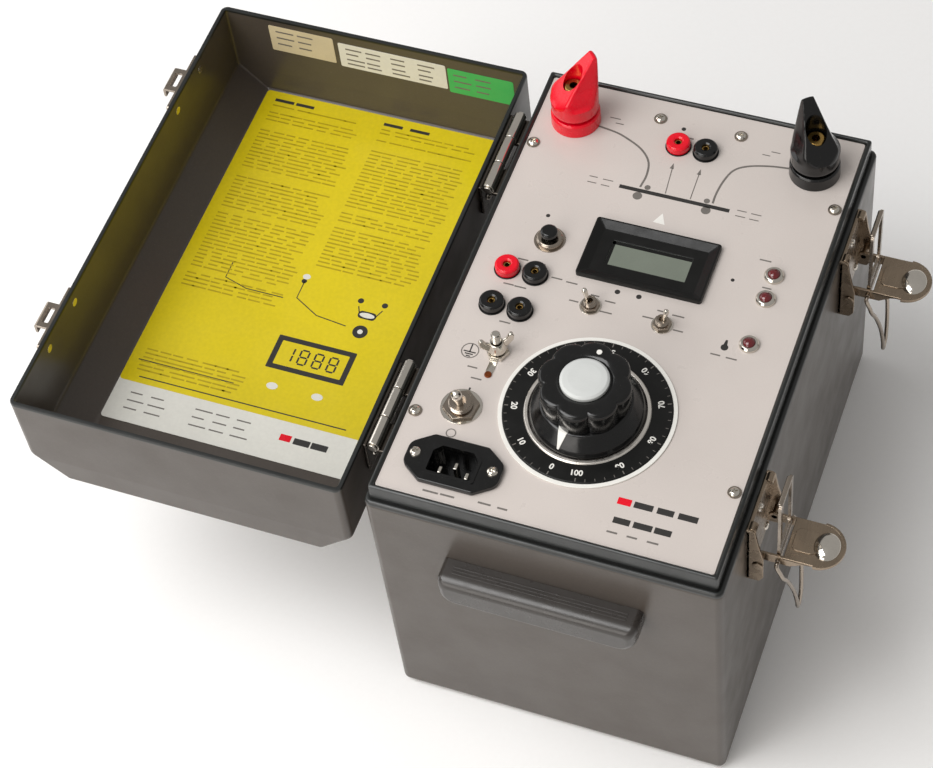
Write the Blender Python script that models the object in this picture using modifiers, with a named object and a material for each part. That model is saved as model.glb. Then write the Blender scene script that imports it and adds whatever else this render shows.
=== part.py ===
"""Portable low-resistance tester in a hinged carrying case.

Origin: centre of the case's underside. +X points to the latches, +Y to the back, +Z up.
The lid is modelled open, turned half a turn from shut about its hinge pins.
"""
import math

import bmesh
import bpy
from mathutils import Matrix, Vector

MM = 0.001
GAP = 0.3 * MM                      # left between neighbours that touch

# ---- case and lid -------------------------------------------------------------------------
CASE_LENGTH = 280 * MM
CASE_WIDTH = 182 * MM
SHOULDER_HEIGHT = 185 * MM          # underside to the ledge that the shut lid meets
CASE_WALL = 2.5 * MM
CASE_CORNER = 4 * MM
CASE_FOOT_ROUND = 5 * MM
LID_DEPTH = 64 * MM
LID_WALL = 2.5 * MM
LID_CHAMFER = 18 * MM
LID_REST_GAP = 0.5 * MM             # between the shut lid's rim and the shoulder

# ---- rim frame and front panel ------------------------------------------------------------
BEAD_THICKNESS = 2.7 * MM
LIP_HEIGHT = 11 * MM
LIP_INSET = CASE_WALL + GAP
LIP_WIDTH = 2.4 * MM
SKIRT_DEPTH = 8 * MM
LEDGE_WIDTH = 8 * MM
LEDGE_THICKNESS = 2.5 * MM
PANEL_RECESS = 1.4 * MM
PANEL_THICKNESS = 2 * MM

LIP_TOP = SHOULDER_HEIGHT + LIP_HEIGHT
PANEL_TOP = LIP_TOP - PANEL_RECESS
PANEL_UNDER = PANEL_TOP - PANEL_THICKNESS
LEDGE_TOP = PANEL_UNDER - GAP
PANEL_INSET = LIP_INSET + LIP_WIDTH + GAP
PANEL_WIDTH = CASE_WIDTH - 2 * PANEL_INSET
PANEL_LENGTH = CASE_LENGTH - 2 * PANEL_INSET
SEAT = PANEL_TOP + GAP              # where what stands on the panel begins
PANEL_LEFT = -PANEL_WIDTH / 2
PANEL_RIGHT = PANEL_WIDTH / 2
PANEL_FRONT = -PANEL_LENGTH / 2
PANEL_BACK = PANEL_LENGTH / 2

# ---- label in the lid ---------------------------------------------------------------------
LABEL_LENGTH = 235 * MM
LABEL_MARGIN = 1.6 * MM             # label edge to the lid's inner chamfer
LABEL_BACK_GAP = 1.8 * MM           # label edge to the lid's back wall
LABEL_SHIFT = -1.3 * MM
LABEL_CORNER = 2 * MM
LABEL_THICKNESS = 0.5 * MM

# ---- hinges -------------------------------------------------------------------------------
HINGE_OUT = 5.8 * MM                # pin axis to the case wall
HINGE_RISE = 1.5 * MM               # pin axis above the shoulder
HINGE_SPREAD = 84 * MM              # each hinge's middle from the case's middle
HINGE_LENGTH = 52 * MM
HINGE_PIN_RADIUS = 1.6 * MM
HINGE_PIN_FIT = 0.3 * MM
LEAF_THICKNESS = 1.5 * MM
LEAF_HEIGHT = 22 * MM
KNUCKLE_CLEARANCE = 0.7 * MM        # a barrel to the other leaf
KNUCKLE_RADIUS = HINGE_OUT - GAP - LEAF_THICKNESS - KNUCKLE_CLEARANCE
HINGE_X = -(CASE_WIDTH / 2 + HINGE_OUT)
HINGE_Z = SHOULDER_HEIGHT + HINGE_RISE
LID_RIM_Z = 2 * HINGE_Z - SHOULDER_HEIGHT - LID_REST_GAP
LID_FLOOR_Z = LID_RIM_Z - LID_DEPTH
LID_X = 2 * HINGE_X                 # middle of the open lid

# ---- latches ------------------------------------------------------------------------------
LATCH_SPREAD = 83 * MM
LATCH_WIDTH = 36 * MM
LATCH_SHEET = 1.5 * MM
FLANGE_DEPTH = 7 * MM
LATCH_LOW = 139 * MM
LATCH_HIGH = SHOULDER_HEIGHT - 1 * MM
PIVOT_OUT = 5.8 * MM                # lever pivot to the case wall
PIVOT_Z = 154 * MM
STUB_RADIUS = 1.7 * MM
LEVER_WIDTH = 24.6 * MM
LEVER_REACH = 38 * MM
LEVER_CHEEK = 3.2 * MM              # cheek below the pivot axis, and the plate's top above it
LEVER_SLOT = 2.6 * MM               # link pin to the start of the lever's top
CHEEK_OVERLAP = 8 * MM              # how far the cheeks run on below the top
LINK_ARM = 8.5 * MM                 # lever pivot to link pin
LINK_DROP_ANGLE = math.radians(8)
LINK_PIN_RADIUS = 1.3 * MM
PIN_FIT = 0.3 * MM
LINK_WIDTH = 21 * MM
LINK_BAR = 2 * MM
LINK_WINDOW_LOW = 5 * MM            # link pin to the window's lower edge
LINK_HEIGHT = 46.5 * MM
LINK_PIN_PROUD = 0.6 * MM           # pin end to the lever's cheek
WIRE_GAP = 0.6 * MM                 # wire end to the pin's end
WIRE_RADIUS = 1.1 * MM
WIRE_DROP = 60 * MM
KEEPER_WIDTH = 40 * MM
KEEPER_HEIGHT = 12 * MM
HOOK_DEPTH = 7.2 * MM
HOOK_HEIGHT = 6.5 * MM
PIVOT_X = CASE_WIDTH / 2 + PIVOT_OUT
LINK_X = PIVOT_X + LINK_ARM * math.cos(LINK_DROP_ANGLE)
LINK_Z = PIVOT_Z - LINK_ARM * math.sin(LINK_DROP_ANGLE)

# ---- carry grip on the front end ----------------------------------------------------------
GRIP_LENGTH = 103 * MM
GRIP_DEPTH = 15 * MM
GRIP_HEIGHT = 19 * MM
GRIP_WALL = 3 * MM
GRIP_TOP = 152 * MM
GRIP_END_ROUND = 9 * MM

# ---- what stands on the panel (x, y from the panel's middle) ------------------------------
TERMINAL_X = PANEL_RIGHT - 20.5 * MM
TERMINAL_Y = PANEL_BACK - 24.5 * MM
COLLAR_RADIUS = 13 * MM
COLLAR_HEIGHT = 8 * MM
LUG_GAP = 2.2 * MM
WING_STUD_TOP = 27 * MM
WING_SHOULDER = 20 * MM             # where the slanted face starts
WING_REACH = 13.4 * MM
WING_FOOT_RADIUS = 12.6 * MM
WING_TIP_DEPTH = 2.5 * MM
WING_TIP = 45 * MM
WING_TIP_WIDTH = 6 * MM
WING_FLANK_LOW = 15 * MM
WING_WAIST = 28 * MM                  # height where the flanks steepen
WING_WAIST_WIDTH = 15.2 * MM
STUD_RADIUS = 5 * MM
STUD_FIT = 0.4 * MM
STUD_TAIL = 24 * MM
STUD_BORE = 2.1 * MM                  # for a 4 mm plug
STUD_BORE_DEPTH = 14 * MM

SOCKET_RADIUS = 6.2 * MM
SOCKET_HEIGHT = 4.5 * MM
SOCKET_BORE = 2.1 * MM
SOCKET_SHANK = 4 * MM
SOCKET_TAIL = 14 * MM
SOCKETS = {
    "socket_sense_red": (-7.4 * MM, PANEL_BACK - 27.8 * MM),
    "socket_sense_black": (7.4 * MM, PANEL_BACK - 27.8 * MM),
    "socket_aux_red": (PANEL_LEFT + 18.5 * MM, 6.4 * MM),
    "socket_aux_black": (PANEL_LEFT + 33.5 * MM, 6.4 * MM),
    "socket_out_left": (PANEL_LEFT + 18.5 * MM, -17 * MM),
    "socket_out_right": (PANEL_LEFT + 33.5 * MM, -17 * MM),
}

BUTTON_AT = (PANEL_LEFT + 33.3 * MM, 29.8 * MM)
BUTTON_SHANK = 5 * MM
BUTTON_BORE = 3.4 * MM
BUTTON_TRAVEL = 2 * MM

LAMP_RADIUS = 5 * MM
LAMP_SHANK = 3.6 * MM
LAMPS = {
    "lamp_upper": (PANEL_RIGHT - 21.7 * MM, 39.5 * MM),
    "lamp_middle": (PANEL_RIGHT - 21.7 * MM, 24.5 * MM),
    "lamp_lower": (PANEL_RIGHT - 21.7 * MM, -4.3 * MM),
}

TOGGLE_TILT = math.radians(12)
SMALL_TOGGLES = {
    "toggle_left": (-19 * MM, -4 * MM),
    "toggle_right": (19 * MM, -5 * MM),
}
SMALL_BUSH = 3.2 * MM
MAINS_AT = (PANEL_LEFT + 25 * MM, PANEL_FRONT + 54.5 * MM)
MAINS_BUSH = 6 * MM

EARTH_AT = (PANEL_LEFT + 31.3 * MM, PANEL_FRONT + 90.5 * MM)
EARTH_STUD = 2.4 * MM

DISPLAY_AT = (0.6 * MM, 31 * MM)
DISPLAY_SIZE = (66 * MM, 37 * MM)
DISPLAY_HEIGHT = 3 * MM
DISPLAY_GLASS = (50 * MM, 21 * MM)
DISPLAY_TAIL = 16 * MM

INLET_AT = (PANEL_LEFT + 33.5 * MM, PANEL_FRONT + 21 * MM)
INLET_FLANGE = (49 * MM, 27 * MM)
INLET_BODY = (27 * MM, 19.5 * MM)
INLET_RECESS = (23.5 * MM, 15.5 * MM)
INLET_DEPTH = 18 * MM
INLET_TAIL = 22 * MM
INLET_LIFT = 3 * MM
INLET_BLADE = 11.5 * MM

DIAL_AT = (0, PANEL_FRONT + 69.5 * MM)
DIAL_RING_OUTER = 42 * MM
DIAL_RING_INNER = 30.6 * MM
DIAL_RING_HEIGHT = 1.5 * MM
DIAL_SKIRT_RADIUS = 29 * MM
DIAL_KNOB_RADIUS = 23.4 * MM
DIAL_KNOB_TOP = 28 * MM
DIAL_FLUTES = 8
DIAL_CAP_RADIUS = 12 * MM
DIAL_SHAFT_RADIUS = 4 * MM
SHAFT_FIT = 0.3 * MM

# ---- inside -------------------------------------------------------------------------------
CORE_OUTER = 50 * MM
CORE_INNER = 20 * MM
CORE_HEIGHT = 52 * MM
CORE_TOP = 160 * MM
BRUSH_REACH = 40 * MM
TRANSFORMER_SIZE = (118 * MM, 96 * MM, 92 * MM)
TRANSFORMER_Y = PANEL_BACK - 68.5 * MM
BUSBAR = (16 * MM, 3 * MM)
BOARD_SIZE = (100 * MM, 52 * MM, 1.6 * MM)
BOARD_AT = (6 * MM, 40 * MM)
BOARD_Z = 150 * MM

FINE = 24
PLAIN = 16


# ---- scene and materials ------------------------------------------------------------------
def clear_scene():
    for item in list(bpy.data.objects):
        bpy.data.objects.remove(item, do_unlink=True)


def new_collection(name):
    made = bpy.data.collections.new(name)
    bpy.context.scene.collection.children.link(made)
    return made


clear_scene()
PARTS = new_collection("resistance_tester")
CUTTERS = new_collection("cutters")


def material(name, colour, roughness, metallic=0.0):
    made = bpy.data.materials.new(name)
    made.use_nodes = True
    shader = made.node_tree.nodes["Principled BSDF"]
    shader.inputs["Base Color"].default_value = (*colour, 1)
    shader.inputs["Roughness"].default_value = roughness
    shader.inputs["Metallic"].default_value = metallic
    return made


PAINT = material("case_paint", (0.04, 0.045, 0.045), 0.35)
FRAME_BLACK = material("frame_black", (0.015, 0.017, 0.017), 0.4)
PANEL_GREY = material("panel_grey", (0.6, 0.57, 0.54), 0.45)
NICKEL = material("nickel", (0.62, 0.58, 0.52), 0.25, 1)
BLACK = material("black_plastic", (0.012, 0.012, 0.012), 0.3)
RED = material("red_plastic", (0.7, 0.004, 0.015), 0.3)
BRASS = material("brass", (0.7, 0.5, 0.22), 0.3, 1)
COPPER = material("copper", (0.75, 0.36, 0.2), 0.3, 1)
STEEL = material("core_steel", (0.3, 0.3, 0.32), 0.5, 1)
BOARD_GREEN = material("board_green", (0.02, 0.2, 0.06), 0.5)
GLASS = material("display_glass", (0.25, 0.28, 0.24), 0.15)
LENS = material("red_lens", (0.45, 0.0, 0.01), 0.1)
PAPER = material("label_yellow", (0.7, 0.6, 0.01), 0.6)
KNOB_GREY = material("knob_cap_grey", (0.55, 0.55, 0.55), 0.4)


# ---- building blocks ----------------------------------------------------------------------
def add_object(name, mesh, finish, at=(0, 0, 0), turn=(0, 0, 0), cutter=False):
    item = bpy.data.objects.new(name, mesh)
    item.location = at
    item.rotation_euler = turn
    if cutter:
        CUTTERS.objects.link(item)
        item.hide_render = True
        item.display_type = "WIRE"
    else:
        PARTS.objects.link(item)
        mesh.materials.clear()
        mesh.materials.append(finish)
        mesh.set_sharp_from_angle(angle=math.radians(35))
    return item


def settle(item):
    """Give back an object's evaluated shape as a plain mesh in world space."""
    bpy.context.view_layer.update()
    shape = item.evaluated_get(bpy.context.evaluated_depsgraph_get())
    mesh = bpy.data.meshes.new_from_object(shape)
    mesh.transform(item.matrix_world)
    work = bmesh.new()
    work.from_mesh(mesh)
    bmesh.ops.remove_doubles(work, verts=work.verts, dist=1e-6)
    work.to_mesh(mesh)
    work.free()
    return mesh


def box_mesh(size, corner=0, corner_steps=3, open_top=False, foot_round=0):
    """A box standing on z = 0, with rounded upright edges and a rounded foot if asked."""
    work = bmesh.new()
    bmesh.ops.create_cube(work, size=1)
    bmesh.ops.scale(work, verts=work.verts, vec=size)
    bmesh.ops.translate(work, verts=work.verts, vec=(0, 0, size[2] / 2))
    if corner:
        upright = [e for e in work.edges if abs(e.verts[0].co.z - e.verts[1].co.z) > size[2] / 2]
        bmesh.ops.bevel(work, geom=upright, offset=corner, segments=corner_steps, profile=0.5,
                        affect="EDGES", clamp_overlap=True)
    if foot_round:
        foot = [e for e in work.edges if all(abs(v.co.z) < 1e-7 for v in e.verts)]
        bmesh.ops.bevel(work, geom=foot, offset=foot_round, segments=3, profile=0.5,
                        affect="EDGES", clamp_overlap=True)
    if open_top:
        top = [f for f in work.faces if all(v.co.z > size[2] - 1e-7 for v in f.verts)]
        bmesh.ops.delete(work, geom=top, context="FACES")
    mesh = bpy.data.meshes.new("box")
    work.to_mesh(mesh)
    work.free()
    return mesh


def box(name, low, high, finish=None, corner=0, cutter=False):
    """A box between two corners."""
    size = [h - l for l, h in zip(low, high)]
    at = ((low[0] + high[0]) / 2, (low[1] + high[1]) / 2, low[2])
    return add_object(name, box_mesh(size, corner), finish, at, cutter=cutter)


def rod(name, radius, start, end, finish=None, steps=PLAIN, cutter=False):
    """A cylinder from one point to another."""
    start = Vector(start)
    way = Vector(end) - start
    work = bmesh.new()
    bmesh.ops.create_cone(work, cap_ends=True, segments=steps, radius1=radius, radius2=radius,
                          depth=way.length)
    turn = way.to_track_quat("Z", "Y").to_matrix().to_4x4()
    bmesh.ops.transform(work, verts=work.verts, matrix=turn)
    mesh = bpy.data.meshes.new(name)
    work.to_mesh(mesh)
    work.free()
    return add_object(name, mesh, finish, start + way / 2, cutter=cutter)


def turned(name, profile, at, finish=None, steps=FINE, cutter=False, turn=(0, 0, 0)):
    """A turned piece: (radius, height) pairs, down the outer side from top to bottom."""
    work = bmesh.new()
    points = [work.verts.new((radius, 0, height)) for radius, height in profile]
    for first, second in zip(points, points[1:]):
        work.edges.new((first, second))
    if profile[0][0] > 0:                       # a ring: the bore joins the two ends
        work.edges.new((points[-1], points[0]))
    mesh = bpy.data.meshes.new(name)
    work.to_mesh(mesh)
    work.free()
    item = add_object(name, mesh, finish, at, turn, cutter=cutter)
    screw = item.modifiers.new("turn", "SCREW")
    screw.steps = steps
    screw.render_steps = steps
    screw.use_merge_vertices = True
    screw.merge_threshold = 1e-6
    return item


def circle(radius, at=(0, 0), steps=PLAIN):
    return [(at[0] + radius * math.cos(2 * math.pi * k / steps),
             at[1] + radius * math.sin(2 * math.pi * k / steps)) for k in range(steps)]


def rounded_rectangle(width, length, radius, at=(0, 0), steps=4):
    points = []
    for quarter, (side_x, side_y) in enumerate(((1, 1), (-1, 1), (-1, -1), (1, -1))):
        for k in range(steps + 1):
            angle = math.pi / 2 * (quarter + k / steps)
            points.append((at[0] + side_x * (width / 2 - radius) + radius * math.cos(angle),
                           at[1] + side_y * (length / 2 - radius) + radius * math.sin(angle)))
    return points


def plate(name, outlines, low, high, finish=None, cutter=False, lay=Matrix()):
    """A flat outline, with holes, between two heights; lay turns it to another plane."""
    curve = bpy.data.curves.new(name, "CURVE")
    curve.dimensions = "2D"
    curve.fill_mode = "BOTH"
    curve.extrude = (high - low) / 2
    for outline in outlines:
        spline = curve.splines.new("POLY")
        spline.points.add(len(outline) - 1)
        for point, (x, y) in zip(spline.points, outline):
            point.co = (x, y, 0, 1)
        spline.use_cyclic_u = True
    guide = bpy.data.objects.new(name + "_outline", curve)
    CUTTERS.objects.link(guide)
    guide.location = (0, 0, (low + high) / 2)
    mesh = settle(guide)
    bpy.data.objects.remove(guide, do_unlink=True)
    mesh.transform(lay)
    return add_object(name, mesh, finish, cutter=cutter)


def tube(name, points, radius, finish, sides=2):
    """A bent wire through a list of points."""
    curve = bpy.data.curves.new(name, "CURVE")
    curve.dimensions = "3D"
    curve.bevel_depth = radius
    curve.bevel_resolution = sides
    curve.use_fill_caps = True
    spline = curve.splines.new("POLY")
    spline.points.add(len(points) - 1)
    for point, place in zip(spline.points, points):
        point.co = (*place, 1)
    item = bpy.data.objects.new(name, curve)
    curve.materials.append(finish)
    PARTS.objects.link(item)
    return item


def boolean(target, tool, operation):
    step = target.modifiers.new(tool.name, "BOOLEAN")
    step.operation = operation
    step.object = tool
    step.solver = "EXACT"


def cut(target, *tools):
    for tool in tools:
        boolean(target, tool, "DIFFERENCE")


def join(target, *tools):
    for tool in tools:
        boolean(target, tool, "UNION")


def smooth_curve(knots, count):
    """Points on a Catmull-Rom curve through the knots."""
    ends = [knots[0] * 2 - knots[1], *knots, knots[-1] * 2 - knots[-2]]
    spans = len(knots) - 1
    points = []
    for k in range(count + 1):
        place = spans * k / count
        span = min(int(place), spans - 1)
        t = place - span
        a, b, c, d = ends[span:span + 4]
        points.append(0.5 * (2 * b + (c - a) * t + (2 * a - 5 * b + 4 * c - d) * t * t
                             + (3 * b - a - 3 * c + d) * t * t * t))
    return points


# ---- case, rim frame, panel, grip ---------------------------------------------------------
def case_shell():
    height = SHOULDER_HEIGHT - BEAD_THICKNESS - GAP
    size = (CASE_WIDTH, CASE_LENGTH, height)
    mesh = box_mesh(size, CASE_CORNER, 4, open_top=True, foot_round=CASE_FOOT_ROUND)
    shell = add_object("case_shell", mesh, PAINT)
    wall = shell.modifiers.new("wall", "SOLIDIFY")
    wall.thickness = CASE_WALL
    wall.offset = -1
    wall.use_even_offset = True


def ring(name, inset, width, low, high, finish=None, cutter=False):
    """One storey of the rim frame, measured inwards from the case's outer wall."""
    outlines = []
    for step in (inset, inset + width):
        radius = max(CASE_CORNER - step, 1.5 * MM)
        outlines.append(rounded_rectangle(CASE_WIDTH - 2 * step, CASE_LENGTH - 2 * step, radius))
    return plate(name, outlines, low, high, finish, cutter)


def rim_frame():
    skirt_low = SHOULDER_HEIGHT - BEAD_THICKNESS - SKIRT_DEPTH
    frame = ring("rim_frame", LIP_INSET, LIP_WIDTH, skirt_low, LIP_TOP, FRAME_BLACK)
    inner = LIP_INSET + LIP_WIDTH / 2
    join(frame,
         ring("bead_storey", 0, inner, SHOULDER_HEIGHT - BEAD_THICKNESS, SHOULDER_HEIGHT,
              cutter=True),
         ring("ledge_storey", inner, LIP_WIDTH / 2 + LEDGE_WIDTH, LEDGE_TOP - LEDGE_THICKNESS,
              LEDGE_TOP, cutter=True))


def panel_holes():
    """Every hole in the front panel, each from the size of what passes through it."""
    holes = [circle(SOCKET_SHANK + GAP, at) for at in SOCKETS.values()]
    holes += [circle(LAMP_SHANK + GAP, at) for at in LAMPS.values()]
    holes += [circle(SMALL_BUSH + GAP, at) for at in SMALL_TOGGLES.values()]
    holes += [circle(STUD_RADIUS + STUD_FIT, (side * TERMINAL_X, TERMINAL_Y)) for side in (-1, 1)]
    holes.append(circle(BUTTON_SHANK + GAP, BUTTON_AT))
    holes.append(circle(MAINS_BUSH + GAP, MAINS_AT))
    holes.append(circle(EARTH_STUD + GAP, EARTH_AT))
    holes.append(circle(DIAL_SHAFT_RADIUS + SHAFT_FIT, DIAL_AT))
    holes.append(rounded_rectangle(INLET_BODY[0] + 2 * GAP, INLET_BODY[1] + 2 * GAP, GAP,
                                   INLET_AT, 1))
    holes.append(rounded_rectangle(DISPLAY_GLASS[0], DISPLAY_GLASS[1], GAP, DISPLAY_AT, 1))
    return holes


def front_panel():
    outline = rounded_rectangle(PANEL_WIDTH, PANEL_LENGTH, 2 * MM)
    plate("front_panel", [outline, *panel_holes()], PANEL_UNDER, PANEL_TOP, PANEL_GREY)


def carry_grip():
    """A moulded ledge on the front end: open below and behind, for the fingers."""
    work = bmesh.new()
    bmesh.ops.create_cube(work, size=1)
    bmesh.ops.scale(work, verts=work.verts, vec=(GRIP_LENGTH, GRIP_DEPTH, GRIP_HEIGHT))
    low = -GRIP_HEIGHT / 2
    ends = [e for e in work.edges
            if all(abs(v.co.z - low) < 1e-7 for v in e.verts)
            and abs(e.verts[0].co.y - e.verts[1].co.y) > GRIP_DEPTH / 2]
    bmesh.ops.bevel(work, geom=ends, offset=GRIP_END_ROUND, segments=4, profile=0.5,
                    affect="EDGES", clamp_overlap=True)
    front = [e for e in work.edges
             if all(v.co.y < -GRIP_DEPTH / 2 + 1e-7 for v in e.verts)]
    bmesh.ops.bevel(work, geom=front, offset=GRIP_WALL * 0.9, segments=2, profile=0.5,
                    affect="EDGES", clamp_overlap=True)
    flat_bottom = [f for f in work.faces if f.normal.z < -0.99]
    back = [f for f in work.faces if f.normal.y > 0.99]
    bmesh.ops.delete(work, geom=flat_bottom + back, context="FACES")
    mesh = bpy.data.meshes.new("carry_grip")
    work.to_mesh(mesh)
    work.free()
    at = (0, -(CASE_LENGTH + GRIP_DEPTH) / 2 - GAP, GRIP_TOP - GRIP_HEIGHT / 2)
    grip = add_object("carry_grip", mesh, BLACK, at)
    wall = grip.modifiers.new("wall", "SOLIDIFY")
    wall.thickness = GRIP_WALL
    wall.offset = -1


# ---- lid ----------------------------------------------------------------------------------
def inner_chamfer(inset):
    """The lid's chamfer, measured on a face that lies inset further in."""
    return LID_CHAMFER - inset * (2 - math.sqrt(2))


def chamfered_block(name, inset, extra_top, finish=None, cutter=False):
    """The lid's solid outside (inset 0) or its hollow (inset = wall), floor down."""
    width = CASE_WIDTH - 2 * inset
    length = CASE_LENGTH - 2 * inset
    depth = LID_DEPTH - inset + extra_top
    corner = CASE_CORNER - inset
    mesh = box_mesh((width, length, depth), corner, 4)
    block = add_object(name, mesh, finish, (LID_X, 0, LID_FLOOR_Z + inset), cutter=cutter)
    chamfer = inner_chamfer(inset)
    for side in (-1, 1):
        wedge = box_mesh((chamfer * math.sqrt(2), length * 2, chamfer * math.sqrt(2)))
        turn = Matrix.Rotation(math.radians(45), 4, "Y")
        wedge.transform(Matrix.Translation((0, 0, -chamfer / math.sqrt(2))))
        wedge.transform(turn)
        place = (LID_X + side * width / 2, 0, LID_FLOOR_Z + inset)
        cut(block, add_object(name + f"_wedge{side}", wedge, None, place, cutter=True))
    return block


def lid_shell():
    shell = chamfered_block("lid_shell", 0, 0, PAINT)
    hollow = chamfered_block("lid_hollow", LID_WALL, 5 * MM, cutter=True)
    cut(shell, hollow)


def instruction_label():
    low = LID_FLOOR_Z + LID_WALL + GAP
    floor_width = CASE_WIDTH - 2 * LID_WALL - 2 * inner_chamfer(LID_WALL)
    back = CASE_LENGTH / 2 - LID_WALL - LABEL_BACK_GAP
    outline = rounded_rectangle(floor_width - 2 * LABEL_MARGIN, LABEL_LENGTH, LABEL_CORNER,
                                (LID_X + LABEL_SHIFT, back - LABEL_LENGTH / 2), 3)
    plate("instruction_label", [outline], low, low + LABEL_THICKNESS, PAPER)


# ---- hinges -------------------------------------------------------------------------------
def knuckle_spans(middle):
    """The lid leaf takes the middle third of the barrel, the case leaf the two outer thirds."""
    third = HINGE_LENGTH / 3
    start = middle - HINGE_LENGTH / 2
    case_spans = [(start, start + third - GAP), (start + 2 * third + GAP, start + 3 * third)]
    return case_spans, [(start + third, start + 2 * third)]


def hinge_leaf(name, middle, side, spans):
    """side 1 lies on the case wall, side -1 on the open lid's wall."""
    wall_x = HINGE_X + side * HINGE_OUT
    near_wall = wall_x - side * GAP
    far_wall = near_wall - side * LEAF_THICKNESS
    top = SHOULDER_HEIGHT - BEAD_THICKNESS / 2 if side > 0 else LID_RIM_Z - LEAF_THICKNESS
    low_x, high_x = sorted((near_wall, far_wall))
    leaf = box(name, (low_x, middle - HINGE_LENGTH / 2, top - LEAF_HEIGHT),
               (high_x, middle + HINGE_LENGTH / 2, top), NICKEL)
    web_low = HINGE_Z - KNUCKLE_RADIUS
    for count, (start, end) in enumerate(spans):
        low_x, high_x = sorted((near_wall, HINGE_X))
        web = box(f"{name}_web{count}", (low_x, start, web_low - LEAF_THICKNESS),
                  (high_x, end, web_low + LEAF_THICKNESS), cutter=True)
        barrel = rod(f"{name}_barrel{count}", KNUCKLE_RADIUS, (HINGE_X, start, HINGE_Z),
                     (HINGE_X, end, HINGE_Z), cutter=True)
        join(leaf, web, barrel)
    half = HINGE_LENGTH / 2 + 1 * MM
    radius = HINGE_PIN_RADIUS + (0 if side > 0 else HINGE_PIN_FIT)
    pin = rod(f"{name}_pin", radius, (HINGE_X, middle - half, HINGE_Z),
              (HINGE_X, middle + half, HINGE_Z), cutter=True)
    boolean(leaf, pin, "UNION" if side > 0 else "DIFFERENCE")


def hinge(place, middle):
    """The pin is riveted into the case leaf's knuckles; the lid leaf turns on it."""
    case_spans, lid_spans = knuckle_spans(middle)
    hinge_leaf(f"hinge_leaf_case_{place}", middle, 1, case_spans)
    hinge_leaf(f"hinge_leaf_lid_{place}", middle, -1, lid_spans)


# ---- latches ------------------------------------------------------------------------------
def latch_plate(place, middle):
    """Channel on the case wall, with a stub on each flange for the lever to turn on."""
    wall = CASE_WIDTH / 2 + GAP
    half = LATCH_WIDTH / 2
    plate_body = box(f"latch_plate_{place}", (wall, middle - half, LATCH_LOW),
                     (wall + LATCH_SHEET, middle + half, LATCH_HIGH), NICKEL)
    for side in (-1, 1):
        inner, outer = sorted((middle + side * (half - LATCH_SHEET), middle + side * half))
        flange = box(f"latch_flange_{place}{side}", (wall, inner, LATCH_LOW),
                     (wall + FLANGE_DEPTH + LATCH_SHEET, outer, LATCH_HIGH), cutter=True)
        stub_end = middle + side * (LEVER_WIDTH / 2 - LATCH_SHEET)
        stub = rod(f"latch_stub_{place}{side}", STUB_RADIUS, (PIVOT_X, stub_end, PIVOT_Z),
                   (PIVOT_X, middle + side * (half - LATCH_SHEET / 2), PIVOT_Z), cutter=True)
        join(plate_body, flange, stub)


def latch_lever(place, middle):
    """U-shaped hand lever, straight out from the case; its back end is only the two cheeks."""
    half = LEVER_WIDTH / 2
    top = PIVOT_Z + LEVER_CHEEK
    plate_start = LINK_X + LEVER_SLOT
    tip = PIVOT_X + LEVER_REACH
    lever = box(f"latch_lever_{place}", (plate_start, middle - half, top - LATCH_SHEET),
                (tip, middle + half, top), NICKEL)
    for side in (-1, 1):
        inner, outer = sorted((middle + side * (half - LATCH_SHEET), middle + side * half))
        cheek = box(f"lever_cheek_{place}{side}", (PIVOT_X, inner, PIVOT_Z - LEVER_CHEEK),
                    (plate_start + CHEEK_OVERLAP, outer, top), cutter=True)
        eye = rod(f"lever_eye_{place}{side}", LEVER_CHEEK, (PIVOT_X, inner, PIVOT_Z),
                  (PIVOT_X, outer, PIVOT_Z), cutter=True)
        join(lever, cheek, eye)
    pivot_bore = rod(f"lever_bore_{place}", STUB_RADIUS + PIN_FIT, (PIVOT_X, middle - half * 2, PIVOT_Z),
                     (PIVOT_X, middle + half * 2, PIVOT_Z), cutter=True)
    link_bore = rod(f"lever_link_bore_{place}", LINK_PIN_RADIUS + PIN_FIT,
                    (LINK_X, middle - half * 2, LINK_Z), (LINK_X, middle + half * 2, LINK_Z),
                    cutter=True)
    nose = round_nose(f"lever_nose_{place}", middle, tip, top)
    cut(lever, pivot_bore, link_bore, nose)


def round_nose(name, middle, tip, top):
    """Cuts the lever's thumb end to a half circle."""
    radius = LEVER_WIDTH / 2
    centre = tip - radius
    reach = radius * 1.2
    steps = 8
    outline = [(centre + radius * math.cos(angle), middle + radius * math.sin(angle))
               for angle in (math.pi * (k / steps - 0.5) for k in range(steps + 1))]
    outline += [(centre, middle + reach), (centre + reach, middle + reach),
                (centre + reach, middle - reach), (centre, middle - reach)]
    return plate(name, [outline], top - 2 * LEVER_CHEEK, top + LEVER_CHEEK, cutter=True)


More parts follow.
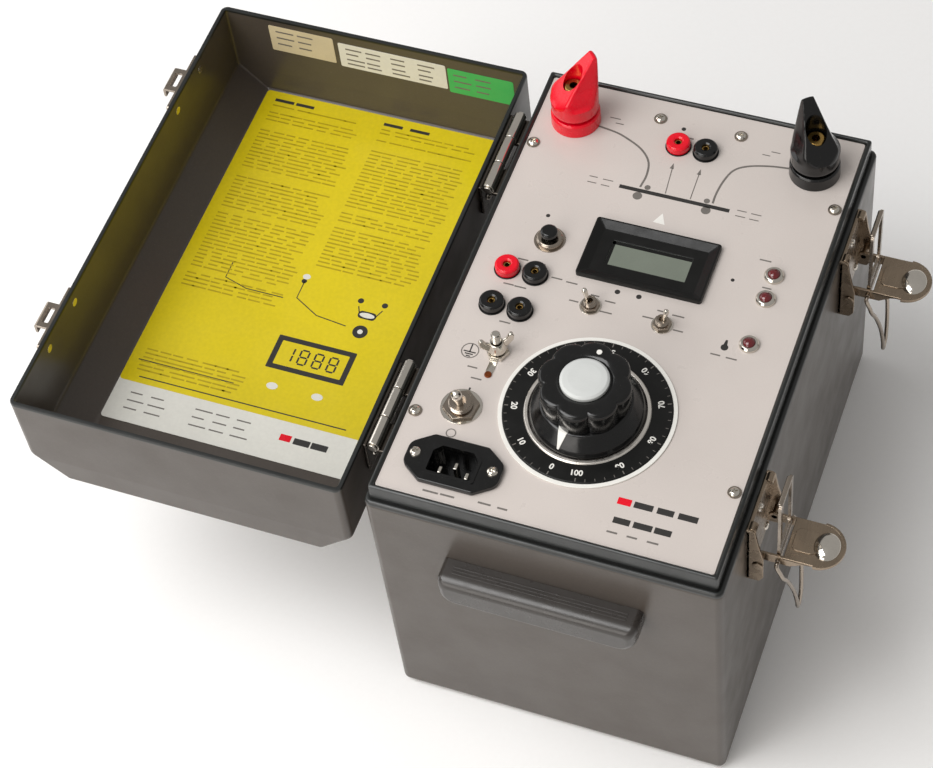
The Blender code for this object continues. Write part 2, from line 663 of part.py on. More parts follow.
def latch_link(place, middle):
    """Upright claw frame that hooks over the lid's keeper, with its cross pin."""
    half = LINK_WIDTH / 2
    foot = LINK_Z - LINK_PIN_RADIUS / 2
    outer = [(middle - half, foot), (middle + half, foot),
             (middle + half, LINK_Z + LINK_HEIGHT), (middle - half, LINK_Z + LINK_HEIGHT)]
    low = LINK_Z + LINK_WINDOW_LOW
    high = LINK_Z + LINK_HEIGHT - LINK_BAR
    window = [(middle - half + LINK_BAR, low), (middle + half - LINK_BAR, low),
              (middle + half - LINK_BAR, high), (middle - half + LINK_BAR, high)]
    upright = Matrix(((0, 0, 1, LINK_X), (1, 0, 0, 0), (0, 1, 0, 0), (0, 0, 0, 1)))
    link = plate(f"latch_link_{place}", [outer, window], -LATCH_SHEET / 2, LATCH_SHEET / 2, NICKEL,
                 lay=upright)
    reach = LEVER_WIDTH / 2 + LINK_PIN_PROUD
    pin = rod(f"link_pin_{place}", LINK_PIN_RADIUS, (LINK_X, middle - reach, LINK_Z),
              (LINK_X, middle + reach, LINK_Z), cutter=True)
    join(link, pin)


def latch_wire(place, middle):
    """V-shaped safety wire that swings on the link pin's ends and bows outwards."""
    start = LEVER_WIDTH / 2 + LINK_PIN_PROUD + WIRE_GAP
    side_out = start + WIRE_RADIUS + GAP
    half = [(0, start, 0), (0.3 * MM, side_out, -1.2 * MM), (2.2 * MM, side_out, -0.11 * WIRE_DROP),
            (3.4 * MM, LEVER_WIDTH / 2 + 1.7 * MM, -0.2 * WIRE_DROP),
            (5 * MM, 11 * MM, -0.32 * WIRE_DROP), (7.2 * MM, 6.8 * MM, -0.57 * WIRE_DROP),
            (8.2 * MM, 3.6 * MM, -0.83 * WIRE_DROP)]
    knots = [Vector(point) for point in half] + [Vector((8 * MM, 0, -WIRE_DROP))]
    knots += [Vector((x, -y, z)) for x, y, z in reversed(half)]
    centre = Vector((LINK_X, middle, LINK_Z))
    tube(f"latch_wire_{place}", [centre + p for p in smooth_curve(knots, 36)], WIRE_RADIUS, NICKEL)


def lid_keeper(place, middle):
    """Riveted plate on the open lid's far wall, with the trough that the link draws on."""
    wall = LID_X - CASE_WIDTH / 2 - GAP
    high = LID_RIM_Z - 1.2 * MM
    body = box(f"lid_keeper_{place}", (wall - LATCH_SHEET, middle - KEEPER_WIDTH / 2, high - KEEPER_HEIGHT),
               (wall, middle + KEEPER_WIDTH / 2, high), NICKEL)
    half = (LINK_WIDTH - 2 * LINK_BAR) / 2 - 0.5 * MM
    out = wall - LATCH_SHEET - HOOK_DEPTH
    shelf = box(f"keeper_shelf_{place}", (out, middle - half, high - LATCH_SHEET),
                (wall, middle + half, high), cutter=True)
    lip = box(f"keeper_lip_{place}", (out, middle - half, high - HOOK_HEIGHT),
              (out + LATCH_SHEET, middle + half, high), cutter=True)
    join(body, shelf, lip)


def latch(place, middle):
    latch_plate(place, middle)
    latch_lever(place, middle)
    latch_link(place, middle)
    latch_wire(place, middle)
    lid_keeper(place, middle)


# ---- current terminals --------------------------------------------------------------------
def terminal(colour_name, finish, side, wing_turn):
    at = (side * TERMINAL_X, TERMINAL_Y, SEAT)
    bore = STUD_RADIUS + STUD_FIT
    turned(f"terminal_collar_{colour_name}",
           [(COLLAR_RADIUS - 1 * MM, COLLAR_HEIGHT), (COLLAR_RADIUS, COLLAR_HEIGHT - 1 * MM),
            (COLLAR_RADIUS, 0), (bore, 0), (bore, COLLAR_HEIGHT)], at, finish)
    body_low = COLLAR_HEIGHT + LUG_GAP
    knob = turned(f"wing_knob_{colour_name}",
                  [(WING_REACH, WING_TIP), (WING_FOOT_RADIUS - 0.2 * MM, body_low + 5 * MM),
                   (WING_FOOT_RADIUS, body_low), (bore, body_low), (bore, WING_TIP)], at, finish)
    turn = Matrix.Translation(at) @ Matrix.Rotation(wing_turn, 4, "Z")
    stand = Matrix(((1, 0, 0, 0), (0, 0, -1, 0), (0, 1, 0, 0), (0, 0, 0, 1)))
    across = Matrix(((0, 0, 1, 0), (1, 0, 0, 0), (0, 1, 0, 0), (0, 0, 0, 1)))
    far = 3 * WING_REACH
    top = WING_TIP
    face = [(-WING_FOOT_RADIUS - 0.5 * MM, WING_SHOULDER), (WING_REACH - WING_TIP_DEPTH, WING_TIP),
            (WING_REACH - WING_TIP_DEPTH, top + far), (-far, top + far),
            (-far, WING_SHOULDER)]
    cut(knob, plate(f"wing_face_{colour_name}", [face], -far, far, lay=turn @ stand, cutter=True))
    for edge in (-1, 1):
        flank = [(edge * (WING_FOOT_RADIUS + 0.5 * MM), WING_FLANK_LOW),
                 (edge * WING_WAIST_WIDTH / 2, WING_WAIST), (edge * WING_TIP_WIDTH / 2, top),
                 (edge * WING_TIP_WIDTH / 2, top + far), (edge * far, top + far),
                 (edge * far, WING_FLANK_LOW)]
        cut(knob, plate(f"wing_flank_{colour_name}{edge}", [flank], -far, far, lay=turn @ across,
                        cutter=True))
    top = WING_STUD_TOP
    bore_floor = top - STUD_BORE_DEPTH
    turned(f"terminal_stud_{colour_name}",
           [(STUD_RADIUS, top), (STUD_RADIUS, -STUD_TAIL), (0, -STUD_TAIL), (0, bore_floor),
            (STUD_BORE, bore_floor), (STUD_BORE, top)], at, BRASS, PLAIN)


# ---- sockets, lamps, button, toggles, earth post ------------------------------------------
def socket(name, at):
    finish = RED if name.endswith("red") else BLACK
    turned(name,
           [(SOCKET_RADIUS - 1 * MM, SOCKET_HEIGHT), (SOCKET_RADIUS, SOCKET_HEIGHT - 1 * MM),
            (SOCKET_RADIUS, 0), (SOCKET_SHANK, 0), (SOCKET_SHANK, -SOCKET_TAIL),
            (0, -SOCKET_TAIL), (0, -SOCKET_TAIL + 2 * MM), (SOCKET_BORE, -SOCKET_TAIL + 2 * MM),
            (SOCKET_BORE, SOCKET_HEIGHT)], (*at, SEAT), finish, PLAIN)


def lamp(name, at):
    turned(name + "_bezel",
           [(LAMP_RADIUS - 0.8 * MM, 2 * MM), (LAMP_RADIUS, 1.2 * MM), (LAMP_RADIUS, 0),
            (LAMP_SHANK, 0), (LAMP_SHANK, -12 * MM), (0, -12 * MM), (0, -1 * MM),
            (3.2 * MM, -1 * MM), (3.2 * MM, 2 * MM)], (*at, SEAT), NICKEL, PLAIN)
    lens = 3.2 * MM - GAP
    turned(name + "_lens",
           [(0, 3.4 * MM), (lens * 0.6, 3 * MM), (lens, 1.6 * MM), (lens, -1 * MM + GAP),
            (0, -1 * MM + GAP)], (*at, SEAT), LENS, PLAIN)


def push_button():
    at = (*BUTTON_AT, SEAT)
    turned("button_bushing",
           [(6.4 * MM, 3 * MM), (7 * MM, 2.4 * MM), (7 * MM, 0), (BUTTON_SHANK, 0),
            (BUTTON_SHANK, -16 * MM), (0, -16 * MM), (0, -10 * MM), (BUTTON_BORE, -10 * MM),
            (BUTTON_BORE, 3 * MM)], at, NICKEL, PLAIN)
    cap = 4.6 * MM
    stem = BUTTON_BORE - GAP
    cap_low = 3 * MM + BUTTON_TRAVEL + GAP
    turned("button_cap",
           [(0, cap_low + 3 * MM), (cap - 0.8 * MM, cap_low + 3 * MM),
            (cap, cap_low + 2.2 * MM), (cap, cap_low), (stem, cap_low),
            (stem, -10 * MM + BUTTON_TRAVEL + GAP), (0, -10 * MM + BUTTON_TRAVEL + GAP)],
           at, BLACK, PLAIN)


def toggle(name, at, bush, length, ball, tilt_about):
    """Threaded bushing with a ball-ended lever; the lever's origin is its hinge point."""
    seat = (*at, SEAT)
    mouth = ball + 1.2 * MM
    turned(name + "_bushing",
           [(bush, 5 * MM), (bush, 2 * MM), (bush * 1.5, 2 * MM), (bush * 1.5, 0), (bush, 0),
            (bush, -14 * MM), (0, -14 * MM), (0, -5 * MM), (ball + GAP, -5 * MM), (mouth, 5 * MM)],
           seat, NICKEL, PLAIN)
    turn = [0, 0, 0]
    turn["xyz".index(tilt_about[1])] = TOGGLE_TILT * (-1 if tilt_about[0] == "-" else 1)
    turned(name + "_lever",
           [(0, length + ball * 0.6), (ball * 0.8, length), (ball, length - ball),
            (ball * 0.62, 4 * MM), (ball * 0.62, -3.4 * MM), (0, -3.4 * MM)],
           (at[0], at[1], SEAT), NICKEL, PLAIN, turn=turn)


def earth_terminal():
    at = (*EARTH_AT, SEAT)
    turned("earth_post",
           [(EARTH_STUD, 16 * MM), (EARTH_STUD, 2.5 * MM), (6 * MM, 2.5 * MM), (6 * MM, 0),
            (EARTH_STUD, 0), (EARTH_STUD, -12 * MM), (0, -12 * MM), (0, 16 * MM)],
           at, NICKEL, PLAIN)
    low = 2.5 * MM + GAP
    nut = turned("earth_wing_nut",
                 [(3.6 * MM, low + 6 * MM), (5 * MM, low), (EARTH_STUD + GAP, low),
                  (EARTH_STUD + GAP, low + 6 * MM)], at, NICKEL, PLAIN)
    stand = Matrix(((1, 0, 0, 0), (0, 0, -1, 0), (0, 1, 0, 0), (0, 0, 0, 1)))
    for side in (-1, 1):
        outline = [(side * x * MM, (low / MM + z) * MM)
                   for x, z in ((3.2, 1), (5, 1), (9, 6), (9, 10), (7.6, 10.6), (5, 7), (3.2, 5))]
        lay = Matrix.Translation(at) @ Matrix.Rotation(math.radians(35), 4, "Z") @ stand
        join(nut, plate(f"earth_wing{side}", [outline], -1 * MM, 1 * MM, lay=lay, cutter=True))


# ---- display and inlet --------------------------------------------------------------------
def display():
    width, length = DISPLAY_SIZE
    glass_x, glass_y = DISPLAY_GLASS
    mesh = box_mesh((width, length, DISPLAY_HEIGHT), 1.5 * MM, 2)
    bezel = add_object("display_bezel", mesh, BLACK, (*DISPLAY_AT, SEAT))
    low = PANEL_UNDER - DISPLAY_TAIL
    body_x = glass_x / 2 - GAP
    body_y = glass_y / 2 - GAP
    body = box("display_body", (DISPLAY_AT[0] - body_x, DISPLAY_AT[1] - body_y, low),
               (DISPLAY_AT[0] + body_x, DISPLAY_AT[1] + body_y, SEAT + 1 * MM), cutter=True)
    join(bezel, body)
    wall = 2 * MM
    pocket = box("display_pocket",
                 (DISPLAY_AT[0] - body_x + wall, DISPLAY_AT[1] - body_y + wall, low + wall),
                 (DISPLAY_AT[0] + body_x - wall, DISPLAY_AT[1] + body_y - wall, SEAT + 9 * MM),
                 cutter=True)
    cut(bezel, pocket)
    play = wall + GAP
    box("display_window",
        (DISPLAY_AT[0] - body_x + play, DISPLAY_AT[1] - body_y + play, SEAT),
        (DISPLAY_AT[0] + body_x - play, DISPLAY_AT[1] + body_y - play, SEAT + 2.5 * MM), GLASS)


def inlet():
    x, y = INLET_AT
    half_x, half_y = INLET_FLANGE[0] / 2, INLET_FLANGE[1] / 2
    ear = 6 * MM
    shoulder = 14 * MM
    outline = [(-half_x, -ear), (-half_x + 3 * MM, -ear - 3 * MM), (-shoulder, -half_y),
               (shoulder, -half_y), (half_x - 3 * MM, -ear - 3 * MM), (half_x, -ear),
               (half_x, ear), (half_x - 3 * MM, ear + 3 * MM), (shoulder, half_y),
               (-shoulder, half_y), (-half_x + 3 * MM, ear + 3 * MM), (-half_x, ear)]
    flange = plate("inlet_socket", [[(x + a, y + b) for a, b in outline]], SEAT, SEAT + INLET_LIFT,
                   BLACK)
    body_x, body_y = INLET_BODY[0] / 2, INLET_BODY[1] / 2
    body = box("inlet_body", (x - body_x, y - body_y, SEAT - INLET_TAIL),
               (x + body_x, y + body_y, SEAT + INLET_LIFT / 2), cutter=True)
    join(flange, body)
    recess_x, recess_y = INLET_RECESS[0] / 2, INLET_RECESS[1] / 2
    floor = SEAT + INLET_LIFT - INLET_DEPTH
    recess = box("inlet_recess", (x - recess_x, y - recess_y, floor),
                 (x + recess_x, y + recess_y, SEAT + 2 * INLET_LIFT), cutter=True)
    cut(flange, recess)
    for count, (blade_x, blade_y) in enumerate(((-7 * MM, -2 * MM), (0, 2 * MM), (7 * MM, -2 * MM))):
        blade = box(f"inlet_blade{count}",
                    (x + blade_x - 1 * MM, y + blade_y - 2 * MM, floor - 1 * MM),
                    (x + blade_x + 1 * MM, y + blade_y + 2 * MM, floor + INLET_BLADE), cutter=True)
        join(flange, blade)


# ---- dial ---------------------------------------------------------------------------------
def dial():
    at = (*DIAL_AT, SEAT)
    turned("dial_scale_ring",
           [(DIAL_RING_OUTER - 0.6 * MM, DIAL_RING_HEIGHT), (DIAL_RING_OUTER, DIAL_RING_HEIGHT - 0.6 * MM),
            (DIAL_RING_OUTER, 0), (DIAL_RING_INNER, 0), (DIAL_RING_INNER, DIAL_RING_HEIGHT)],
           at, BLACK, 48)
    low = 2.2 * MM
    bore = DIAL_SHAFT_RADIUS + SHAFT_FIT
    bore_top = DIAL_KNOB_TOP - 6 * MM
    knob = turned("dial_knob",
                  [(0, DIAL_KNOB_TOP - 2 * MM), (20 * MM, DIAL_KNOB_TOP - 2 * MM), (20 * MM, 13 * MM),
                   (24 * MM, 12 * MM), (DIAL_SKIRT_RADIUS - 0.6 * MM, low + 1.6 * MM),
                   (DIAL_SKIRT_RADIUS, low), (0, low)],
                  at, BLACK, 32)
    points = []
    steps = DIAL_FLUTES * 6
    for k in range(steps):
        angle = 2 * math.pi * k / steps
        radius = DIAL_KNOB_RADIUS - 1.9 * MM * (1 - abs(math.cos(DIAL_FLUTES * angle / 2)))
        points.append((at[0] + radius * math.cos(angle), at[1] + radius * math.sin(angle)))
    grip = plate("dial_grip", [points], SEAT + 14 * MM, SEAT + DIAL_KNOB_TOP, cutter=True)
    join(knob, grip)
    cut(knob, rod("dial_bore", bore, (*DIAL_AT, SEAT), (*DIAL_AT, SEAT + bore_top), cutter=True))
    cap_low = DIAL_KNOB_TOP + GAP
    turned("dial_cap",
           [(0, cap_low + 1.6 * MM), (DIAL_CAP_RADIUS - 0.8 * MM, cap_low + 1.6 * MM),
            (DIAL_CAP_RADIUS, cap_low + 0.8 * MM), (DIAL_CAP_RADIUS, cap_low), (0, cap_low)],
           at, KNOB_GREY)
    shaft_low = CORE_TOP - 30 * MM
    shaft = rod("dial_shaft", DIAL_SHAFT_RADIUS, (*DIAL_AT, shaft_low),
                (*DIAL_AT, SEAT + bore_top - GAP), NICKEL)
    arm_low = CORE_TOP + 2 * MM
    arm = box("brush_arm", (-5 * MM, DIAL_AT[1] - BRUSH_REACH, arm_low),
              (5 * MM, DIAL_AT[1] + 8 * MM, arm_low + 3 * MM), cutter=True)
    brush = box("brush_carbon", (-4 * MM, DIAL_AT[1] - BRUSH_REACH, CORE_TOP + GAP),
                (4 * MM, DIAL_AT[1] - BRUSH_REACH + 8 * MM, arm_low + 1 * MM), cutter=True)
    join(shaft, arm, brush)


# ---- inside -------------------------------------------------------------------------------
def regulator_core():
    """Wound ring core of the variable transformer, hung from the panel by three posts."""
    at = (*DIAL_AT, CORE_TOP - CORE_HEIGHT)
    core = turned("regulator_core",
                  [(CORE_OUTER - 3 * MM, CORE_HEIGHT), (CORE_OUTER, CORE_HEIGHT - 3 * MM),
                   (CORE_OUTER, 3 * MM), (CORE_OUTER - 3 * MM, 0), (CORE_INNER, 0),
                   (CORE_INNER, CORE_HEIGHT)], at, COPPER)
    for k in range(3):
        angle = math.radians(90 + 120 * k)
        post_x = DIAL_AT[0] + (BRUSH_REACH + 4.5 * MM) * math.cos(angle)
        post_y = DIAL_AT[1] + (BRUSH_REACH + 4.5 * MM) * math.sin(angle)
        post = rod(f"core_post{k}", 2.5 * MM, (post_x, post_y, CORE_TOP - 5 * MM),
                   (post_x, post_y, PANEL_UNDER - GAP), steps=10, cutter=True)
        join(core, post)


def transformer():
    """High-current transformer on the case floor: laminated core with its coil."""
    size_x, size_y, size_z = TRANSFORMER_SIZE
    floor = CASE_WALL + GAP
    core = box("current_transformer",
               (-size_x / 2, TRANSFORMER_Y - size_y / 4, floor),
               (size_x / 2, TRANSFORMER_Y + size_y / 4, floor + size_z), STEEL)
    coil = box("transformer_coil",
               (-size_x / 4, TRANSFORMER_Y - size_y / 2, floor + size_z / 6),
               (size_x / 4, TRANSFORMER_Y + size_y / 2, floor + size_z * 5 / 6), corner=8 * MM,
               cutter=True)
    join(core, coil)


def busbar(colour_name, side):
    """Flat copper bar from a terminal stud down to the transformer's top."""
    width, thick = BUSBAR
    stud_x = side * TERMINAL_X
    high = SEAT - STUD_TAIL - GAP
    low = CASE_WALL + TRANSFORMER_SIZE[2] + 2 * GAP
    foot_x = side * (TRANSFORMER_SIZE[0] / 2 - 14 * MM)
    foot_y = TRANSFORMER_Y + TRANSFORMER_SIZE[1] / 4 - width / 2
    low_x, high_x = sorted((stud_x - side * width / 2, foot_x))
    bar = box(f"busbar_{colour_name}", (stud_x - width / 2, TERMINAL_Y - width / 2, high - thick),
              (stud_x + width / 2, TERMINAL_Y + width / 2, high), COPPER)
    riser = box(f"bus_riser_{colour_name}",
                (stud_x - width / 2, TERMINAL_Y - width / 2, low),
                (stud_x + width / 2, TERMINAL_Y - width / 2 + thick, high - thick / 2), cutter=True)
    foot = box(f"bus_foot_{colour_name}",
               (min(low_x, stud_x - width / 2), foot_y - width / 2, low),
               (max(high_x, stud_x + width / 2), TERMINAL_Y - width / 2 + thick / 2, low + thick),
               cutter=True)
    join(bar, riser, foot)


def circuit_board():
    size_x, size_y, thick = BOARD_SIZE
    x, y = BOARD_AT
    board = box("circuit_board", (x - size_x / 2, y - size_y / 2, BOARD_Z),
                (x + size_x / 2, y + size_y / 2, BOARD_Z + thick), BOARD_GREEN)
    for side_x in (-1, 1):
        for side_y in (-1, 1):
            post_x = x + side_x * (size_x / 2 - 5 * MM)
            post_y = y + side_y * (size_y / 2 - 5 * MM)
            post = rod(f"board_post{side_x}{side_y}", 2.5 * MM, (post_x, post_y, BOARD_Z + thick / 2),
                       (post_x, post_y, PANEL_UNDER - GAP), steps=10, cutter=True)
            join(board, post)


def build():
    case_shell()
    rim_frame()
    front_panel()
    carry_grip()
    lid_shell()
    instruction_label()
    for place, side in (("front", -1), ("back", 1)):
        hinge(place, side * HINGE_SPREAD)
        latch(place, side * LATCH_SPREAD)
    terminal("red", RED, -1, math.radians(42))
    terminal("black", BLACK, 1, math.radians(128))
    for name, at in SOCKETS.items():
        socket(name, at)
    for name, at in LAMPS.items():
        lamp(name, at)
    push_button()
    for name, at in SMALL_TOGGLES.items():
        toggle(name, at, SMALL_BUSH, 13 * MM, 1.5 * MM, "-y" if at[0] < 0 else "+y")
    toggle("mains_toggle", MAINS_AT, MAINS_BUSH, 17 * MM, 2.8 * MM, "+x")
    earth_terminal()
    display()
    inlet()
    dial()
    regulator_core()
    transformer()
    busbar("red", -1)
    busbar("black", 1)
    circuit_board()


build()
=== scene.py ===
"""Portable low-resistance tester in an open carrying case, dressed over its CAD frame.

All shapes are drawn in millimetres in the shared frame: X to the latches, Y back, Z up.
"""
import random
from math import atan2, cos, pi, radians, sin, sqrt, tan

import bmesh
import bpy
import numpy as np
from mathutils import Matrix, Vector


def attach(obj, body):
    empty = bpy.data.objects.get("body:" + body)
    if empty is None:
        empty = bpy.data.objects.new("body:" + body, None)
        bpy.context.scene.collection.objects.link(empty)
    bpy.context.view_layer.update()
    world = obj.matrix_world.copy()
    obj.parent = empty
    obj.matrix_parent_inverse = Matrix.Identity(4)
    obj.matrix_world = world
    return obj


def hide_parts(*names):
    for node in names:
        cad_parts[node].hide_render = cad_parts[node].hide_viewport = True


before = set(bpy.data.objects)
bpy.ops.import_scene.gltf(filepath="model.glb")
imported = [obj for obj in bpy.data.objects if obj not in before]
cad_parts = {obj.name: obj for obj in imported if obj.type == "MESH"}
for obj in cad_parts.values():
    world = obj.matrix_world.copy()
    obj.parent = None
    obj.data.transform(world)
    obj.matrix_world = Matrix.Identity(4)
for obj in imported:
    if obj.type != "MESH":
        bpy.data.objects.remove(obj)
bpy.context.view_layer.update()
MM = 0.001

# ---- sizes shared by several pieces (mm) ----
CASE_X, CASE_Y = 91.0, 140.0        # half width and half length of the case
PANEL = 194.6                       # top of the front panel
LID_X = -193.6
LID_RIM = 187.5
LID_FLOOR = 123.5
LID_DEPTH = 64.0
WALL = 2.5
HINGE_X, HINGE_Z = -96.8, 186.5
PIN_OUT = 5.8                       # hinge pin from the wall
LATCH_Y, HINGE_Y, KNOB_X, KNOB_Y = 83.0, 84.0, 65.0, 110.0
TOGGLE_LEAN = radians(12)            # how far each toggle leans at rest
PIVOT_X, PIVOT_Z = 96.8, 154.0
LINK_X, LINK_Z = 105.217, 152.817
DIAL_X, DIAL_Y = 0.0, -65.0
MIX_A, MIX_B, MIX_RESULT = 6, 7, 2  # the colour sockets of a mix node


# ---- node helpers ----
def linear(code):
    """Turns an sRGB hex code into a linear RGBA colour."""
    values = [int(code[k:k + 2], 16) / 255 for k in (1, 3, 5)]
    return (*[v / 12.92 if v <= 0.04045 else ((v + 0.055) / 1.055) ** 2.4 for v in values], 1.0)


def add(tree, kind, sockets=(), **settings):
    """Adds a node; sockets is (name or index, value or output socket) pairs."""
    made = tree.nodes.new(kind)
    for key, value in settings.items():
        setattr(made, key, value)
    for key, value in dict(sockets).items():
        if isinstance(value, bpy.types.NodeSocket):
            tree.links.new(value, made.inputs[key])
        else:
            made.inputs[key].default_value = value
    return made


def noise(tree, where, size, detail=3.0, roughness=0.5):
    """A noise whose features are about size mm wide."""
    return add(tree, "ShaderNodeTexNoise", {"Vector": where, "Scale": 1 / (size * MM),
        "Detail": detail, "Roughness": roughness})


def spread(tree, value, low, high):
    """Maps a noise's middle range to low .. high."""
    return add(tree, "ShaderNodeMapRange", {"Value": value, "From Min": 0.3, "From Max": 0.7,
        "To Min": low, "To Max": high}).outputs[0]


def mix(tree, factor, first, second):
    """Blends two colours, each a value or an output socket."""
    return add(tree, "ShaderNodeMix", {"Factor": factor, MIX_A: first, MIX_B: second},
        data_type="RGBA").outputs[MIX_RESULT]


def finish(name, code, rough, metal, tone, tone_size, grain, grain_size, rough_spread=0.08,
        coat=0.0, coat_rough=0.15, stretch=(1, 1, 1), specular=None, dust=0.0):
    """A named surface: colour that drifts by tone over tone_size mm, a fine bump of strength
    grain over grain_size mm, uneven gloss."""
    made = bpy.data.materials.new(name)
    made.use_nodes = True
    tree = made.node_tree
    shader = tree.nodes["Principled BSDF"]
    where = add(tree, "ShaderNodeTexCoord").outputs["Object"]
    stretched = add(tree, "ShaderNodeMapping", {"Vector": where, "Scale": stretch}).outputs[0]
    base = linear(code)
    dark = tuple(v * (1 - tone) for v in base[:3]) + (1,)
    light = tuple(min(v * (1 + tone), 1) for v in base[:3]) + (1,)
    broad = noise(tree, where, tone_size)
    fine = noise(tree, stretched, grain_size, 4)
    drift = add(tree, "ShaderNodeMath", {0: broad.outputs[0], 1: fine.outputs[0]}, operation="ADD")
    factor = add(tree, "ShaderNodeMapRange", {"Value": drift.outputs[0], "From Min": 0.7,
        "From Max": 1.3})
    colour = mix(tree, factor.outputs[0], dark, light)
    if dust:
        specks = noise(tree, where, 0.9, 2)
        where_dusty = add(tree, "ShaderNodeMapRange", {"Value": specks.outputs[0],
            "From Min": 0.66, "From Max": 0.74, "To Max": dust})
        colour = mix(tree, where_dusty.outputs[0], colour, linear("#b5afa6"))
    tree.links.new(colour, shader.inputs["Base Color"])
    gloss = spread(tree, noise(tree, where, tone_size * 0.4, 5).outputs[0],
        max(rough - rough_spread, 0.02), rough + rough_spread)
    tree.links.new(gloss, shader.inputs["Roughness"])
    shader.inputs["Metallic"].default_value = metal
    if specular is not None:
        shader.inputs["Specular IOR Level"].default_value = specular
    if coat:
        shader.inputs["Coat Weight"].default_value = coat
        shader.inputs["Coat Roughness"].default_value = coat_rough
    if grain:
        bump = add(tree, "ShaderNodeBump", {"Height": fine.outputs[0], "Strength": grain,
            "Distance": 0.05 * MM})
        tree.links.new(bump.outputs[0], shader.inputs["Normal"])
    return made


# Semi-gloss stoved enamel on the steel case and lid.
ENAMEL = finish("stoved_enamel", "#4a433d", 0.36, 0, 0.07, 60, 0.35, 1.6, coat=0.22,
    coat_rough=0.2, dust=0.05, specular=0.35)
# Black anodised rim moulding.
RIM_BLACK = finish("rim_black_anodised", "#141716", 0.36, 0, 0.1, 40, 0.2, 0.5, coat=0.3,
    coat_rough=0.2)
# Warm light grey lacquer on the aluminium front panel.
PANEL_GREY = finish("panel_grey_lacquer", "#cbc2bc", 0.33, 0, 0.035, 45, 0.25, 0.5, coat=0.35,
    coat_rough=0.12)
# Nickel-plated pressed steel: latches, hinges, bushings.
NICKEL = finish("nickel_plate", "#a1968a", 0.22, 1, 0.1, 14, 0.25, 0.8, rough_spread=0.09)
# Dark nickel of the hinges.
HINGE_STEEL = finish("dark_nickel", "#57514b", 0.22, 1, 0.12, 14, 0.25, 0.6, stretch=(1, 0.06, 1))
# Bright chromed screw heads and lever ends.
CHROME = finish("chromed_steel", "#d8d2c8", 0.13, 1, 0.05, 6, 0.1, 0.5, rough_spread=0.05)
# Brushed nickel, drawn along Z.
DRAWN = finish("drawn_nickel", "#978775", 0.27, 1, 0.12, 16, 0.4, 0.5, stretch=(1, 0.06, 1))
# Glossy black thermoset: knobs, sockets, inlet.
BLACK = finish("black_thermoset", "#0a0a0a", 0.2, 0, 0.12, 12, 0.12, 0.4, coat=0.15,
    coat_rough=0.08, dust=0.03, specular=0.4)
# Satin black plastic: bezels and the dial plate.
SATIN = finish("satin_black_plastic", "#0d0d0c", 0.36, 0, 0.1, 18, 0.4, 0.35, specular=0.3)
# Red thermoset caps.
RED = finish("red_thermoset", "#e00020", 0.24, 0, 0.1, 10, 0.12, 0.4, coat=0.15, coat_rough=0.08,
    specular=0.4)
# Dark moulded grip.
GRIP = finish("grip_dark_moulding", "#332f2c", 0.3, 0, 0.12, 25, 0.5, 0.5, coat=0.25,
    coat_rough=0.22)
BRASS = finish("turned_brass", "#b08d4f", 0.26, 1, 0.1, 8, 0.3, 0.3)
COPPER = finish("enamelled_copper", "#8a4a2a", 0.32, 1, 0.15, 10, 0.5, 1.0, stretch=(1, 1, 0.1))
LAMINATE = finish("laminated_steel", "#6d6e72", 0.45, 1, 0.2, 20, 0.8, 0.7,
    stretch=(0.05, 1, 0.05))
BOARD = finish("circuit_board_resist", "#1c5a33", 0.4, 0, 0.12, 12, 0.4, 1.2, coat=0.4)
# Light grey cap in the dial knob.
CAP_GREY = finish("cap_light_grey", "#c9cbc9", 0.4, 0, 0.03, 10, 0.2, 0.4)
# Printing inks.
INK = finish("printing_ink_black", "#2a2826", 0.45, 0, 0.12, 4, 0.15, 0.3)
GREY_INK = finish("printing_ink_grey", "#6f6a65", 0.45, 0, 0.12, 4, 0.15, 0.3)
OLIVE_INK = finish("printing_ink_olive", "#b09a00", 0.42, 0, 0.15, 5, 0.15, 0.3)
WHITE = finish("printing_ink_white", "#e8e6e0", 0.4, 0, 0.04, 6, 0.15, 0.3)
SILVER = finish("satin_silver_ring", "#ebe5dd", 0.3, 1, 0.06, 10, 0.3, 0.4, stretch=(1, 1, 0.2))
# Laminated instruction sheet, yellow and white fields.
YELLOW = finish("laminated_sheet_yellow", "#dac400", 0.36, 0, 0.06, 50, 0.3, 2.0, coat=0.3,
    coat_rough=0.15)
SHEET_WHITE = finish("laminated_sheet_white", "#dfddd4", 0.36, 0, 0.04, 40, 0.3, 2.0, coat=0.3,
    coat_rough=0.15)
BEIGE = finish("paper_sticker_beige", "#cdbf9f", 0.6, 0, 0.06, 15, 0.5, 0.5)
GREEN = finish("paper_sticker_green", "#3fb35c", 0.5, 0, 0.06, 15, 0.5, 0.5)


# Clear ruby lens of the lamps.
LENS = finish("ruby_lens", "#5e0209", 0.08, 0, 0.25, 2.5, 0.1, 0.8, rough_spread=0.03, coat=0.8,
    coat_rough=0.04)
# Grey-green liquid-crystal glass.
GLASS = finish("display_glass", "#6f766a", 0.1, 0, 0.06, 12, 0.05, 0.4, rough_spread=0.03,
    coat=1.0, coat_rough=0.03)


# ---- flat outlines ----
def circle(radius, at=(0, 0), steps=48, start=0.0):
    return [(at[0] + radius * cos(start + 2 * pi * k / steps), at[1] + radius
        * sin(start + 2 * pi * k / steps)) for k in range(steps)]


def rectangle(half_x, half_y, radius=0.0, at=(0, 0), steps=6):
    """A rounded rectangle, anticlockwise, 4 * (steps + 1) points."""
    radius = max(radius, 0.01)
    points = []
    for quarter, (sx, sy) in enumerate(((1, 1), (-1, 1), (-1, -1), (1, -1))):
        for k in range(steps + 1):
            angle = pi / 2 * (quarter + k / steps)
            points.append((at[0] + sx * (half_x - radius) + radius * cos(angle), at[1] + sy
                * (half_y - radius) + radius * sin(angle)))
    return points


